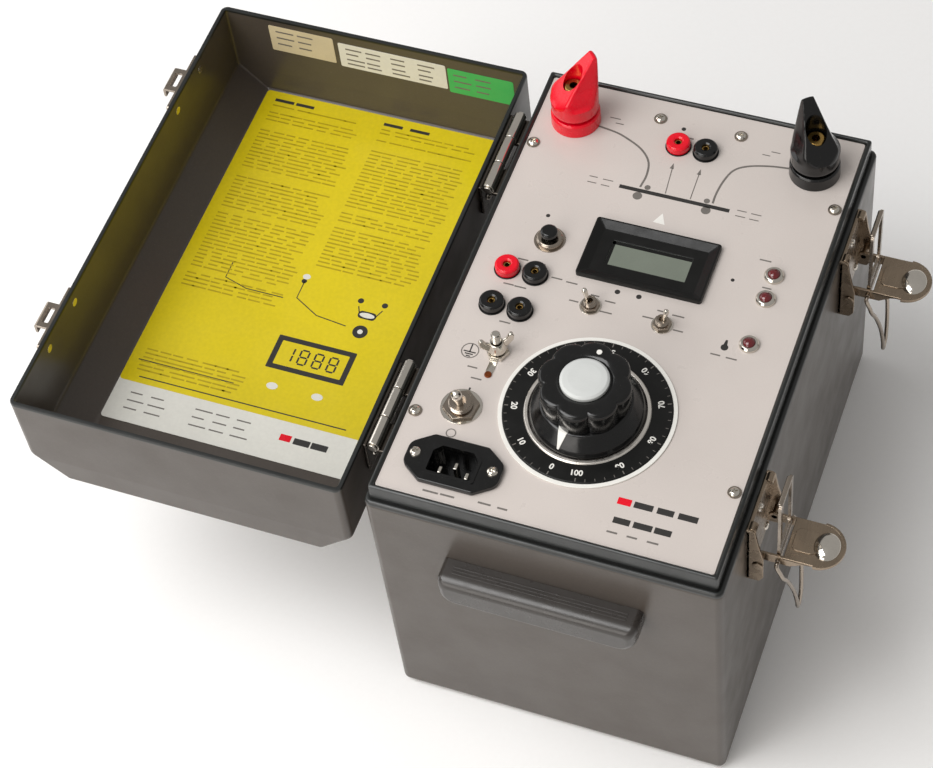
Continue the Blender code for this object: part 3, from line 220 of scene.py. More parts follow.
def fillet(points, radius, steps=4, closed=False):
    """Rounds the corners of a polyline; radius is one number or one for each point."""
    count = len(points)
    radii = [radius] * count if isinstance(radius, (int, float)) else list(radius)
    result = []
    for k, point in enumerate(points):
        if not closed and k in (0, count - 1) or radii[k] <= 0:
            result.append(tuple(point))
            continue
        here = Vector(point)
        before = Vector(points[k - 1]) - here
        after = Vector(points[(k + 1) % count]) - here
        corner = before.angle(after)
        if corner > pi - 0.02:
            result.append(tuple(point))
            continue
        cut = min(radii[k] / tan(corner / 2), before.length * 0.49, after.length * 0.49)
        r = cut * tan(corner / 2)
        start = here + before.normalized() * cut
        end = here + after.normalized() * cut
        middle = here + (before.normalized() + after.normalized()).normalized() * (
            r / sin(corner / 2))
        a, b = start - middle, end - middle
        sweep = a.angle(b)
        for s in range(steps + 1):
            t = s / steps
            v = (a * sin((1 - t) * sweep) + b * sin(t * sweep)) / sin(sweep)
            result.append(tuple(middle + v))
    return result


# ---- meshes (mm) ----
def to_mesh(work, name="shape"):
    bmesh.ops.remove_doubles(work, verts=work.verts, dist=1e-4)
    bmesh.ops.recalc_face_normals(work, faces=work.faces)
    mesh = bpy.data.meshes.new(name)
    work.to_mesh(mesh)
    work.free()
    return mesh


def loft(loops, cap_start=True, cap_end=True, closed=False):
    """Skins 3-D loops that have equal numbers of points."""
    work = bmesh.new()
    rows = [[work.verts.new(p) for p in loop] for loop in loops]
    count = len(rows[0])
    pairs = list(zip(rows, rows[1:]))
    if closed:
        pairs.append((rows[-1], rows[0]))
    for low, high in pairs:
        for k in range(count):
            n = (k + 1) % count
            work.faces.new((low[k], low[n], high[n], high[k]))
    if not closed and cap_start:
        work.faces.new(rows[0][::-1])
    if not closed and cap_end:
        work.faces.new(rows[-1])
    return to_mesh(work)


def lathe(profile, at=(0, 0, 0), steps=64):
    """Turns (radius, height) pairs about Z; a profile off the axis at both ends is closed."""
    work = bmesh.new()
    on_axis = profile[0][0] < 1e-6 or profile[-1][0] < 1e-6
    rows = []
    for radius, height in profile:
        if radius < 1e-6:
            rows.append([work.verts.new((at[0], at[1], at[2] + height))])
        else:
            rows.append([work.verts.new((at[0] + radius * cos(2 * pi * k / steps), at[1] + radius
                * sin(2 * pi * k / steps), at[2] + height)) for k in range(steps)])
    pairs = list(zip(rows, rows[1:]))
    if not on_axis:
        pairs.append((rows[-1], rows[0]))
    for low, high in pairs:
        for k in range(steps):
            n = (k + 1) % steps
            if len(low) == 1 and len(high) == 1:
                continue
            if len(low) == 1:
                work.faces.new((low[0], high[n], high[k]))
            elif len(high) == 1:
                work.faces.new((low[k], low[n], high[0]))
            else:
                work.faces.new((low[k], low[n], high[n], high[k]))
    return to_mesh(work)


def turned(corners, at, steps, soft=4, ring=False):
    """Turns (radius, height, rounding) corners about Z; ring joins the last to the first."""
    rounding = [corner[2] if len(corner) > 2 else 0 for corner in corners]
    return lathe(fillet([corner[:2] for corner in corners], rounding, soft, ring), at, steps)


def bevelled(work, width, steps=3, least=30):
    """Rounds every edge that turns by more than least degrees."""
    sharp = [e for e in work.edges if len(e.link_faces) == 2
        and e.calc_face_angle(0) > radians(least)]
    bmesh.ops.bevel(work, geom=sharp, offset=width, segments=steps, profile=0.5, affect="EDGES",
        clamp_overlap=True)


def block(low, high, width=0.3, steps=3):
    """A box between two corners with rounded edges."""
    work = bmesh.new()
    bmesh.ops.create_cube(work, size=1)
    bmesh.ops.scale(work, verts=work.verts, vec=[b - a for a, b in zip(low, high)])
    bmesh.ops.translate(work, verts=work.verts, vec=[(a + b) / 2 for a, b in zip(low, high)])
    if width:
        bevelled(work, width, steps)
    return to_mesh(work)


def slab(outline, low, high, width=0.3, steps=3, lay=None):
    """A flat outline raised from low to high, with rounded rims."""
    work = bmesh.new()
    floor = [work.verts.new((x, y, low)) for x, y in outline]
    face = work.faces.new(floor)
    raised = bmesh.ops.extrude_face_region(work, geom=[face])
    bmesh.ops.translate(work, verts=[v for v in raised["geom"]
        if isinstance(v, bmesh.types.BMVert)], vec=(0, 0, high - low))
    if width:
        rims = [e for e in work.edges if abs(e.verts[0].co.z - e.verts[1].co.z) < 1e-6]
        bmesh.ops.bevel(work, geom=rims, offset=width, segments=steps, profile=0.5, affect="EDGES",
            clamp_overlap=True)
    mesh = to_mesh(work)
    if lay:
        mesh.transform(lay)
    return mesh


def placed(name, data):
    """A new object in the scene."""
    item = bpy.data.objects.new(name, data)
    bpy.context.scene.collection.objects.link(item)
    return item


def settle(item):
    """An object's evaluated shape as a plain mesh; the object is then removed."""
    bpy.context.view_layer.update()
    mesh = bpy.data.meshes.new_from_object(item.evaluated_get(
        bpy.context.evaluated_depsgraph_get()))
    mesh.transform(item.matrix_world)
    bpy.data.objects.remove(item, do_unlink=True)
    return mesh


def stencil(outlines, low, high, lay=None):
    """A sheet with holes: the first outline is the edge, the others are the holes."""
    curve = bpy.data.curves.new("sheet", "CURVE")
    curve.dimensions = "2D"
    curve.fill_mode = "BOTH"
    curve.extrude = (high - low) / 2
    for outline in outlines:
        spline = curve.splines.new("POLY")
        spline.points.add(len(outline) - 1)
        for point, (x, y) in zip(spline.points, outline):
            point.co = (x, y, 0, 1)
        spline.use_cyclic_u = True
    item = placed("sheet", curve)
    item.location = (0, 0, (low + high) / 2)
    mesh = settle(item)
    work = bmesh.new()
    work.from_mesh(mesh)
    mesh = to_mesh(work)
    if lay:
        mesh.transform(lay)
    return mesh


def smooth_curve(knots, count):
    """Points on a Catmull-Rom curve through the knots."""
    knots = [Vector(k) for k in knots]
    ends = [knots[0] * 2 - knots[1], *knots, knots[-1] * 2 - knots[-2]]
    spans = len(knots) - 1
    points = []
    for k in range(count + 1):
        place = spans * k / count
        span = min(int(place), spans - 1)
        t = place - span
        a, b, c, d = ends[span:span + 4]
        points.append(0.5 * (2 * b + (c - a) * t + (2 * a - 5 * b + 4 * c - d) * t * t
            + (3 * b - a - 3 * c + d) * t * t * t))
    return points


def tube(points, radius, steps=12):
    """A round wire along 3-D points, with domed ends."""
    points = [Vector(p) for p in points]
    loops = []
    side = None
    for k, point in enumerate(points):
        ahead = points[min(k + 1, len(points) - 1)] - points[max(k - 1, 0)]
        way = ahead.normalized()
        if side is None:
            side = way.orthogonal().normalized()
        side = (side - way * side.dot(way)).normalized()
        other = way.cross(side)
        ring = [point + (side * cos(a) + other * sin(a)) * radius
            for a in (2 * pi * s / steps for s in range(steps))]
        if k == 0:
            loops.append([point - way * radius * 0.5 + (r - point) * 0.6 for r in ring])
        loops.append(ring)
        if k == len(points) - 1:
            loops.append([point + way * radius * 0.5 + (r - point) * 0.6 for r in ring])
    return loft(loops)


def rod(radius, start, end, width=0.2, steps=32):
    """A straight round bar with softened ends."""
    start, end = Vector(start), Vector(end)
    way = end - start
    mesh = turned([(0, 0, width), (radius, 0, width), (radius, way.length, width),
        (0, way.length, width)], (0, 0, 0), steps, 3)
    turn = way.to_track_quat("Z", "Y").to_matrix().to_4x4()
    mesh.transform(Matrix.Translation(start) @ turn)
    return mesh


def rod_y(radius, x, z, start, end, width=0.2, steps=32):
    """A round bar along Y."""
    return rod(radius, (x, start, z), (x, end, z), width, steps)


def merged(*meshes):
    """Several shapes as one mesh."""
    work = bmesh.new()
    for mesh in meshes:
        work.from_mesh(mesh)
    made = bpy.data.meshes.new("merged")
    work.to_mesh(made)
    work.free()
    return made


def minus(mesh, *tools):
    """A shape with others cut out of it."""
    body = placed("body", mesh)
    helpers = []
    for tool in tools:
        helper = placed("tool", tool)
        step = body.modifiers.new("cut", "BOOLEAN")
        step.operation = "DIFFERENCE"
        step.solver = "EXACT"
        step.object = helper
        helpers.append(helper)
    made = settle(body)
    for helper in helpers:
        bpy.data.objects.remove(helper, do_unlink=True)
    return made


def grab(items, name, kind=float, width=1):
    values = np.empty(len(items) * width, dtype=kind)
    items.foreach_get(name, values)
    return values


def even_normals(mesh, limit=40):
    """Large faces rule the shading of the small ones that round their edges."""
    mesh.polygons.foreach_set("use_smooth", [True] * len(mesh.polygons))
    loops = len(mesh.loops)
    vertex = grab(mesh.loops, "vertex_index", np.int64)
    start = grab(mesh.polygons, "loop_start", np.int64)
    total = grab(mesh.polygons, "loop_total", np.int64)
    area = grab(mesh.polygons, "area")
    normal = grab(mesh.polygons, "normal", width=3)
    normal = normal.reshape(-1, 3)
    face = np.empty(loops, dtype=np.int64)
    order = np.argsort(start)
    face[:] = np.repeat(order, total[order])
    by_vertex = np.argsort(vertex, kind="stable")
    v, f = vertex[by_vertex], face[by_vertex]
    own = normal[f]
    pull = own * area[f][:, None]
    summed = pull.copy()
    bound = cos(radians(limit))
    shift = 1
    live = np.arange(loops - 1)
    while len(live):
        live = live[live + shift < loops]
        live = live[v[live] == v[live + shift]]
        if not len(live):
            break
        near = live[np.einsum("ij,ij->i", own[live], own[live + shift]) > bound]
        np.add.at(summed, near, pull[near + shift])
        np.add.at(summed, near + shift, pull[near])
        shift += 1
    length = np.linalg.norm(summed, axis=1, keepdims=True)
    length[length < 1e-20] = 1
    result = np.empty((loops, 3))
    result[by_vertex] = summed / length
    mesh.normals_split_custom_set(result.tolist())


def piece(name, mesh, surface, body="case", *stands_for):
    """Adds a mesh, or a list of them, drawn in millimetres as one piece that rides on a body."""
    if isinstance(mesh, list):
        mesh = merged(*mesh)
    mesh.transform(Matrix.Scale(MM, 4))
    mesh.name = name
    mesh.materials.clear()
    mesh.materials.append(surface)
    even_normals(mesh)
    made = placed(name, mesh)
    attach(made, body)
    if stands_for:
        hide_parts(*stands_for)
    return made


# ---- Geometry Nodes: repeated fasteners, marks and lines of small print ----
def group(name, **sockets):
    tree = bpy.data.node_groups.new(name, "GeometryNodeTree")
    for label, kind in sockets.items():
        tree.interface.new_socket(label, in_out="INPUT", socket_type=f"NodeSocket{kind}")
    tree.interface.new_socket("Geometry", in_out="OUTPUT", socket_type="NodeSocketGeometry")
    return tree, add(tree, "NodeGroupInput").outputs, add(tree, "NodeGroupOutput")


def end_group(tree, given, result, instances):
    real = add(tree, "GeometryNodeRealizeInstances", {"Geometry": instances.outputs[0]})
    surfaced = add(tree, "GeometryNodeSetMaterial", {"Geometry": real.outputs[0],
        "Material": given["Finish"]})
    tree.links.new(surfaced.outputs[0], result.inputs[0])
    return tree


def fastener_group():
    """Puts one item on every point, along the point's aim, turned by chance about its axis."""
    tree, given, result = group("repeat_fasteners", Geometry="Geometry", Item="Object",
        Size="Float", Twist="Float", Seed="Int", Finish="Material")
    item = add(tree, "GeometryNodeObjectInfo", {"Object": given["Item"]})
    aim = add(tree, "GeometryNodeInputNamedAttribute", {"Name": "aim"}, data_type="FLOAT_VECTOR")
    turned = add(tree, "FunctionNodeAlignRotationToVector", {"Vector": aim.outputs[0]}, axis="Z")
    chance = add(tree, "FunctionNodeRandomValue", {"Seed": given["Seed"]}, data_type="FLOAT")
    angle = add(tree, "ShaderNodeMath", {0: chance.outputs[1], 1: given["Twist"]},
        operation="MULTIPLY")
    about = add(tree, "ShaderNodeCombineXYZ", {"Z": angle.outputs[0]})
    spin = add(tree, "FunctionNodeEulerToRotation", {"Euler": about.outputs[0]})
    both = add(tree, "FunctionNodeRotateRotation", {"Rotation": turned.outputs[0],
        "Rotate By": spin.outputs[0]}, rotation_space="LOCAL")
    spread_out = add(tree, "GeometryNodeInstanceOnPoints", {"Points": given["Geometry"],
        "Instance": item.outputs["Geometry"], "Rotation": both.outputs[0], "Scale": given["Size"]})
    return end_group(tree, given, result, spread_out)


def print_group():
    """Lines of small print: a bar for each word, of a length that chance picks."""
    tree, given, result = group("repeat_print_lines", Geometry="Geometry", Item="Object",
        Shortest="Float", Longest="Float", Height="Float", Seed="Int", Finish="Material")
    word = add(tree, "GeometryNodeObjectInfo", {"Object": given["Item"]})
    long = add(tree, "FunctionNodeRandomValue", {"Seed": given["Seed"]}, data_type="FLOAT")
    tree.links.new(given["Shortest"], long.inputs[2])
    tree.links.new(given["Longest"], long.inputs[3])
    size = add(tree, "ShaderNodeCombineXYZ", {"X": long.outputs[1], "Y": given["Height"],
        "Z": 1.0})
    spread_out = add(tree, "GeometryNodeInstanceOnPoints", {"Points": given["Geometry"],
        "Instance": word.outputs["Geometry"], "Scale": size.outputs[0]})
    return end_group(tree, given, result, spread_out)


FASTENERS = fastener_group()
PRINT = print_group()


def repeated(name, tree, item, points, surface, body, values, aims=(), lay=None):
    """Runs a group on loose points and adds what it makes as one piece."""
    helper = placed("item", item.copy())
    mesh = bpy.data.meshes.new("points")
    mesh.from_pydata(points, [], [])
    if aims:
        layer = mesh.attributes.new("aim", "FLOAT_VECTOR", "POINT")
        layer.data.foreach_set("vector", [c for aim in aims for c in aim])
    made = placed("points", mesh)
    step = made.modifiers.new("repeat", "NODES")
    step.node_group = tree
    named = {s.name: s.identifier for s in tree.interface.items_tree if s.in_out == "INPUT"}
    for key, value in {"Item": helper, "Finish": surface, **values}.items():
        step[named[key]] = value
    made = settle(made)
    if lay:
        made.transform(lay)
    bpy.data.objects.remove(helper, do_unlink=True)
    return piece(name, made, surface, body)


def fasteners(name, item, points, aim, surface, body="case", seed=1, size=1.0):
    return repeated(name, FASTENERS, item, points, surface, body,
        {"Size": size, "Twist": 6.28, "Seed": seed}, [aim] * len(points))


def small_print(name, points, shortest, longest, height, surface, body, seed, lay=None):
    return repeated(name, PRINT, WORD, points, surface, body,
        {"Shortest": shortest, "Longest": longest, "Height": height, "Seed": seed}, lay=lay)


WORD = block((0, -0.5, 0), (1, 0.5, 0.06), 0)


def pan_head(radius=3.1, height=1.9, cross=True):
    """A domed screw head, seat at z = 0, with a cross or a slot sunk in it."""
    head = turned([(0, height), (radius * 0.55, height * 0.96, 1.2),
        (radius * 0.9, height * 0.55, 0.8), (radius, 0.1, 0.1), (radius, 0), (0, 0)], (0, 0, 0),
        32)
    arm, half, floor = (0.55, 0.12, 0.35) if cross else (2, 0.13, 0.45)
    arm, half, floor, top = arm * radius, half * radius, floor * height, height * 2
    tools = [block((-arm, -half, floor), (arm, half, top), 0)]
    if cross:
        tools.append(block((-half, -arm, floor), (half, arm, top), 0))
    return minus(head, *tools)


def rivet_head(radius=2.4, height=1.2):
    return lathe([(0, height), (radius * 0.4, height * 0.93), (radius * 0.75, height * 0.66),
        (radius * 0.95, height * 0.3), (radius, 0), (0, 0)], steps=32)


PAN = pan_head()
SMALL_PAN = pan_head(2.3, 1.3)
SLOTTED = pan_head(2.6, 1.5, cross=False)
RIVET = rivet_head()
UP, DOWN = (0, 0, 1), (0, 0, -1)


# ---- ink and lettering ----
def ink(name, outlines, surface, body="case", height=PANEL, thick=0.05):
    piece(name, merged(*[slab(o, height, height + thick, 0) for o in outlines]), surface, body)


def stroke(points, width):
    """The outline of a line of even width through 2-D points."""
    left, right = [], []
    for k, (x, y) in enumerate(points):
        ax, ay = points[max(k - 1, 0)]
        bx, by = points[min(k + 1, len(points) - 1)]
        way = Vector((bx - ax, by - ay)).normalized() * (width / 2)
        left.append((x - way.y, y + way.x))
        right.append((x + way.y, y - way.x))
    return right + left[::-1]


def numeral(text, height, at, angle):
    """A plain number as a raised mesh, its middle at a point, turned about Z."""
    curve = bpy.data.curves.new("number", "FONT")
    curve.body = text
    curve.size = height
    curve.align_x = "CENTER"
    curve.align_y = "CENTER"
    curve.extrude = 0.03
    curve.offset = 0.12
    mesh = settle(placed("number", curve))
    mesh.transform(Matrix.Translation(at) @ Matrix.Rotation(angle, 4, "Z"))
    return mesh


# ---- case ----
def case_ring(inset, z, radius=4.0):
    return [(x, y, z) for x, y in rectangle(CASE_X - inset, CASE_Y - inset,
        max(radius - inset, 1.2), steps=8)]


def case_body():
    """Deep-drawn steel tub: rounded foot, sunk base, rounded top edge."""
    foot = [(5 * (1 - sin(a)), 5 * (1 - cos(a))) for a in (pi / 2 * k / 6 for k in range(7))]
    profile = [(16, 1.2), (11, 1.2), (10, 0.8), (9, 0), (6, 0)] + foot
    profile += [(0, 60), (0, 120), (0, 181), (0.4, 181.8), (WALL / 2, 182), (WALL - 0.4, 181.8),
        (WALL, 181), (WALL, 8), (4, 4), (8, WALL + 1.2)]
    loops = [case_ring(inset, z) for inset, z in profile]
    piece("case_tub", loft(loops), ENAMEL, "case", "case_shell")
    spots = [(x * 68, y, 1.2) for x in (-1, 1) for y in (-112, -40, 40, 112)]
    fasteners("base_screws", PAN, spots, DOWN, NICKEL, seed=4, size=0.55)
    slots = [rectangle(22, 1.2, 1.1, (x, y)) for x in (-34, 34) for y in range(-30, 31, 10)]
    piece("base_vents", merged(*[slab(s, 0.9, 1.3, 0.1) for s in slots]), RIM_BLACK)


def rim_moulding():
    """Bead over the tub's edge, groove, and the upright lip round the panel."""
    bead = [(0.0, 182.5), (-0.05, 183.7), (0.35, 184.7), (1.2, 185.2), (2.2, 185.05), (2.7, 185.0)]
    lip = [(2.8, 186), (2.8, 194.6), (3.0, 195.5), (3.6, 195.95), (4.3, 195.95), (4.95, 195.5),
        (5.2, 194.7)]
    inner = [(5.2, 192.3), (12, 192.3), (12.9, 191.9), (13.1, 190), (5.2, 189.6), (5.2, 174.5),
        (2.9, 174.3), (2.8, 182.2), (0.4, 182.2)]
    loops = [case_ring(inset, z) for inset, z in bead + lip + inner]
    piece("rim_moulding", loft(loops, closed=True), RIM_BLACK, "case", "rim_frame")
    bright = [(2.3, 185.1), (2.78, 185.1), (2.78, 186.6), (2.62, 186.6), (2.6, 185.38),
        (2.3, 185.36)]
    piece("rim_seal", loft([case_ring(i, z) for i, z in bright], closed=True), SATIN)


def front_panel():
    holes = [rectangle(13.9, 10.1, 0.4, (-52, -113.5)), rectangle(25, 10.5, 0.4, (0.6, 31))]
    plate = stencil([rectangle(85.4, 134.4, 2, steps=6), *holes], 192.6, PANEL)
    piece("panel_plate", plate, PANEL_GREY, "case", "front_panel")
    edge = [(5.55, 192.9), (5.55, PANEL - 0.1), (5.7, PANEL + 0.02), (6.1, PANEL + 0.03),
        (6.1, 192.9)]
    piece("panel_edge", loft([case_ring(i, z) for i, z in edge], closed=True), PANEL_GREY)
    corners = [(x * 81.6, y, PANEL) for x in (-1, 1) for y in (-88.5, 88.5)]
    corners += [(-22, 122, PANEL), (22, 122, PANEL)]
    fasteners("panel_screws", PAN, corners, UP, CHROME, seed=3, size=0.9)
    washers = [turned([(1.6, 0.5, 0.15), (3.5, 0.5, 0.15), (3.5, 0, 0.15), (1.6, 0, 0.15)],
        (x, y, PANEL), 40, 2, True) for x, y, _ in corners]
    piece("panel_washers", washers, NICKEL)


def on_panel(spots):
    return [(x, y, PANEL) for x, y in spots]


def artwork():
    """Generic printed marks of the front panel; no lettering but bars for the words."""
    red_line = smooth_curve([(-52.5, 108.6, 0), (-43, 107.2, 0), (-36.4, 105.2, 0), (-26, 100, 0),
        (-19.5, 92.9, 0), (-17.6, 84, 0), (-18.4, 75.5, 0)], 28)
    black_line = smooth_curve([(52.5, 108.4, 0), (42, 107, 0), (31.3, 103.9, 0), (24.8, 99.2, 0),
        (21.8, 91, 0), (20.6, 82, 0), (20.7, 75.5, 0)], 28)
    lines = [stroke([p.to_2d() for p in line], 1.1) for line in (red_line, black_line)]
    for x, lean in ((-4.6, -1.8), (8.8, -0.5)):
        lines.append(stroke([(x, 75), (x + lean * 0.85, 92)], 0.5))
        lines.append([(x + lean - 1.1, 91.5), (x + lean + 1.1, 91.6), (x + lean, 95.4)])
    ink("print_leads", lines, GREY_INK)
    bar = [[(-29, 74.4), (-29, 72.1), (30.3, 72), (30.3, 74.3)]]
    bar += [circle(radius, at, steps) for radius, at, steps in ((1.4, (-8.7, 8.2), 24),
        (1.4, (2.6, 8.3), 24), (1.0, (44.6, 31.5), 20), (1.1, (-58.2, 44.5), 20),
        (1.2, (-8.2, 118.7), 20))]
    ink("print_bar", bar, INK)
    ink("print_contacts", [circle(2.5, (-18, 69.6), 28), circle(2.5, (18.6, 70.2), 28),
        circle(1.6, (-14.6, 76.2), 20), circle(1.6, (17.4, 76.2), 20)], GREY_INK)
    drop = [(52.6 + 1.9 * sin(a), -9.2 + 1.9 * cos(a) if abs(a) > 0.5 else -4.6)
        for a in (radians(15 * k) for k in range(-12, 12))]
    ink("print_flash", [drop], INK)
    ink("print_triangle", [[(-5.2, 55.6), (1.2, 55.4), (-1.9, 62.2)]], WHITE)
    earth_and_on = [rectangle(half_x, half_y, 0.1, at) for half_x, half_y, at in (
        (0.35, 2.4, (-67.9, -45.2)), (3.2, 0.35, (-67.9, -47.6)), (2.1, 0.35, (-67.9, -48.9)),
        (1.1, 0.35, (-67.9, -50.2)), (0.45, 2.1, (-60.2, -70.0)))]
    ink("print_symbols", earth_and_on, INK)
    rings = [stencil([circle(r, at, 40), circle(r - 0.55, at, 40)], PANEL, PANEL + 0.06)
        for r, at in ((2.6, (-60.1, -95.8)), (4.6, (-67.9, -46.9)))]
    piece("print_rings", rings, GREY_INK)
    words = [(-46, 75.4), (-46, 71.6), (-38.5, 75.2), (-38.5, 71.4), (34, 74.8), (34, 71.2),
        (41.5, 74.6), (41.5, 71.0), (-48, 116), (-44, 113), (40, 116.6), (36, 113.6)]
    small_print("print_words_leads", on_panel(words), 4.0, 6.0, 0.55, GREY_INK, "case", 2)
    words = [(-64, 14.2), (-56, 14.0), (-66, -2.6), (-60, -2.8), (-43.6, 7.6), (-35.6, 7.0),
        (-60, -25.6), (-30.5, -3.4), (-13.5, -5.6), (8, -2.6), (25, -6.2), (-21, 2.8), (-13, 1.2),
        (14, 3.0), (22, 2.4), (54, 47.8), (60, 31.4), (47, -14.6), (55, -14.8), (-6, 113.6),
        (1, 113.2), (-66, -56), (-62, -62)]
    small_print("print_words_controls", on_panel(words), 4.0, 7.0, 0.8, GREY_INK, "case", 5)
    words = [(-34, -129.2), (-24, -129.4), (-62, -130.4), (-53, -130.2), (30, -126.4),
        (40, -126.4), (50, -126.4)]
    small_print("print_words_foot", on_panel(words), 5.0, 8.0, 1.0, GREY_INK, "case", 9)
    words = [(38, -108.6), (49.5, -108.6), (60, -108.6), (31, -119.4), (41, -119.4),
        (51.5, -119.4)]
    small_print("print_bars_foot", on_panel(words), 8.0, 10.0, 3.4, INK, "case", 4)
    ink("print_bar_red", [rectangle(3.4, 1.9, 0.3, (33.2, -108.6))], RED)


def grip():
    """Moulded finger grip on the front end: rounded nose, open below and behind."""
    low, high, half = 133.0, 152.0, 51.5
    front, back, nose = -155.3, -140.15, 6.0

    def section(y, inset):
        corners = [(half - inset, high - inset), (-half + inset, high - inset),
            (-half + inset, low + inset * 0.7), (half - inset, low + inset * 0.7)]
        outline = fillet(corners, [3, 3, 9, 9], 7, True)
        return [(x, y, z) for x, z in outline]

    loops = [section(back, 0), section(front + nose + 3, 0)]
    loops += [section(front + nose * (1 - sin(a)), nose * 0.8 * (1 - cos(a)))
        for a in (pi / 2 * k / 9 for k in range(10))]
    hollow = block((-half + 3, front + 3.2, low - 5), (half - 3, back + 3, high - 3), 1.2)
    piece("grip_moulding", minus(loft(loops), hollow), GRIP, "case", "carry_grip")
    ribs = [slab(rectangle(45, 0.45, 0.4, (0, y)), high - 0.05, high + 0.3, 0.12, 2)
        for y in (-147.6, -145.8, -144)]
    piece("grip_ribs", ribs, GRIP)


# ---- lid ----
def lid_ring(x_inset, y_inset, z, radius):
    return [(LID_X + x, y, z) for x, y in rectangle(CASE_X - x_inset, CASE_Y - y_inset,
        max(radius, 0.5), steps=8)]


def lid_side(inset):
    """The lid's height profile as (x inset, y inset, z) from the floor to the rim."""
    chamfer = 18 - inset * (2 - sqrt(2))
    line = fillet([(inset + chamfer + 6, inset), (inset + chamfer, inset),
        (inset, inset + chamfer), (inset, LID_DEPTH)], 4, 5)
    ease = 3.0
    result = []
    for x_in, up in line[1:]:
        rise = min(max(up - inset, 0), ease)
        y_in = inset + ease - sqrt(max(ease ** 2 - (ease - rise) ** 2, 0))
        result.append((x_in, y_in, LID_FLOOR + up))
    return result


def lid_tray():
    """Drawn steel lid with long chamfers, thin wall and a rolled rim."""
    outer = lid_side(0)
    inner = lid_side(WALL)
    outer[-1] = (0, 0, LID_RIM - 0.8)
    inner[-1] = (WALL, WALL, LID_RIM - 0.8)
    rim = [(0.35, 0.35, LID_RIM - 0.15), (WALL / 2, WALL / 2, LID_RIM),
        (WALL - 0.35, WALL - 0.35, LID_RIM - 0.15)]
    loops = [lid_ring(x, y, z, max(4 - y, 1)) for x, y, z in outer + rim + inner[::-1]]
    piece("lid_tray", loft(loops), ENAMEL, "lid", "lid_shell")
    trim = [(-0.05, LID_RIM - 1.6), (-0.05, LID_RIM - 0.75), (0.3, LID_RIM - 0.05),
        (WALL / 2, LID_RIM + 0.06), (WALL - 0.3, LID_RIM - 0.05), (WALL + 0.05, LID_RIM - 0.75),
        (WALL + 0.05, LID_RIM - 1.6)]
    loops = [lid_ring(i, i, z, max(4 - i, 1)) for i, z in trim]
    piece("lid_rim_paint", loft(loops, closed=True), RIM_BLACK, "lid")


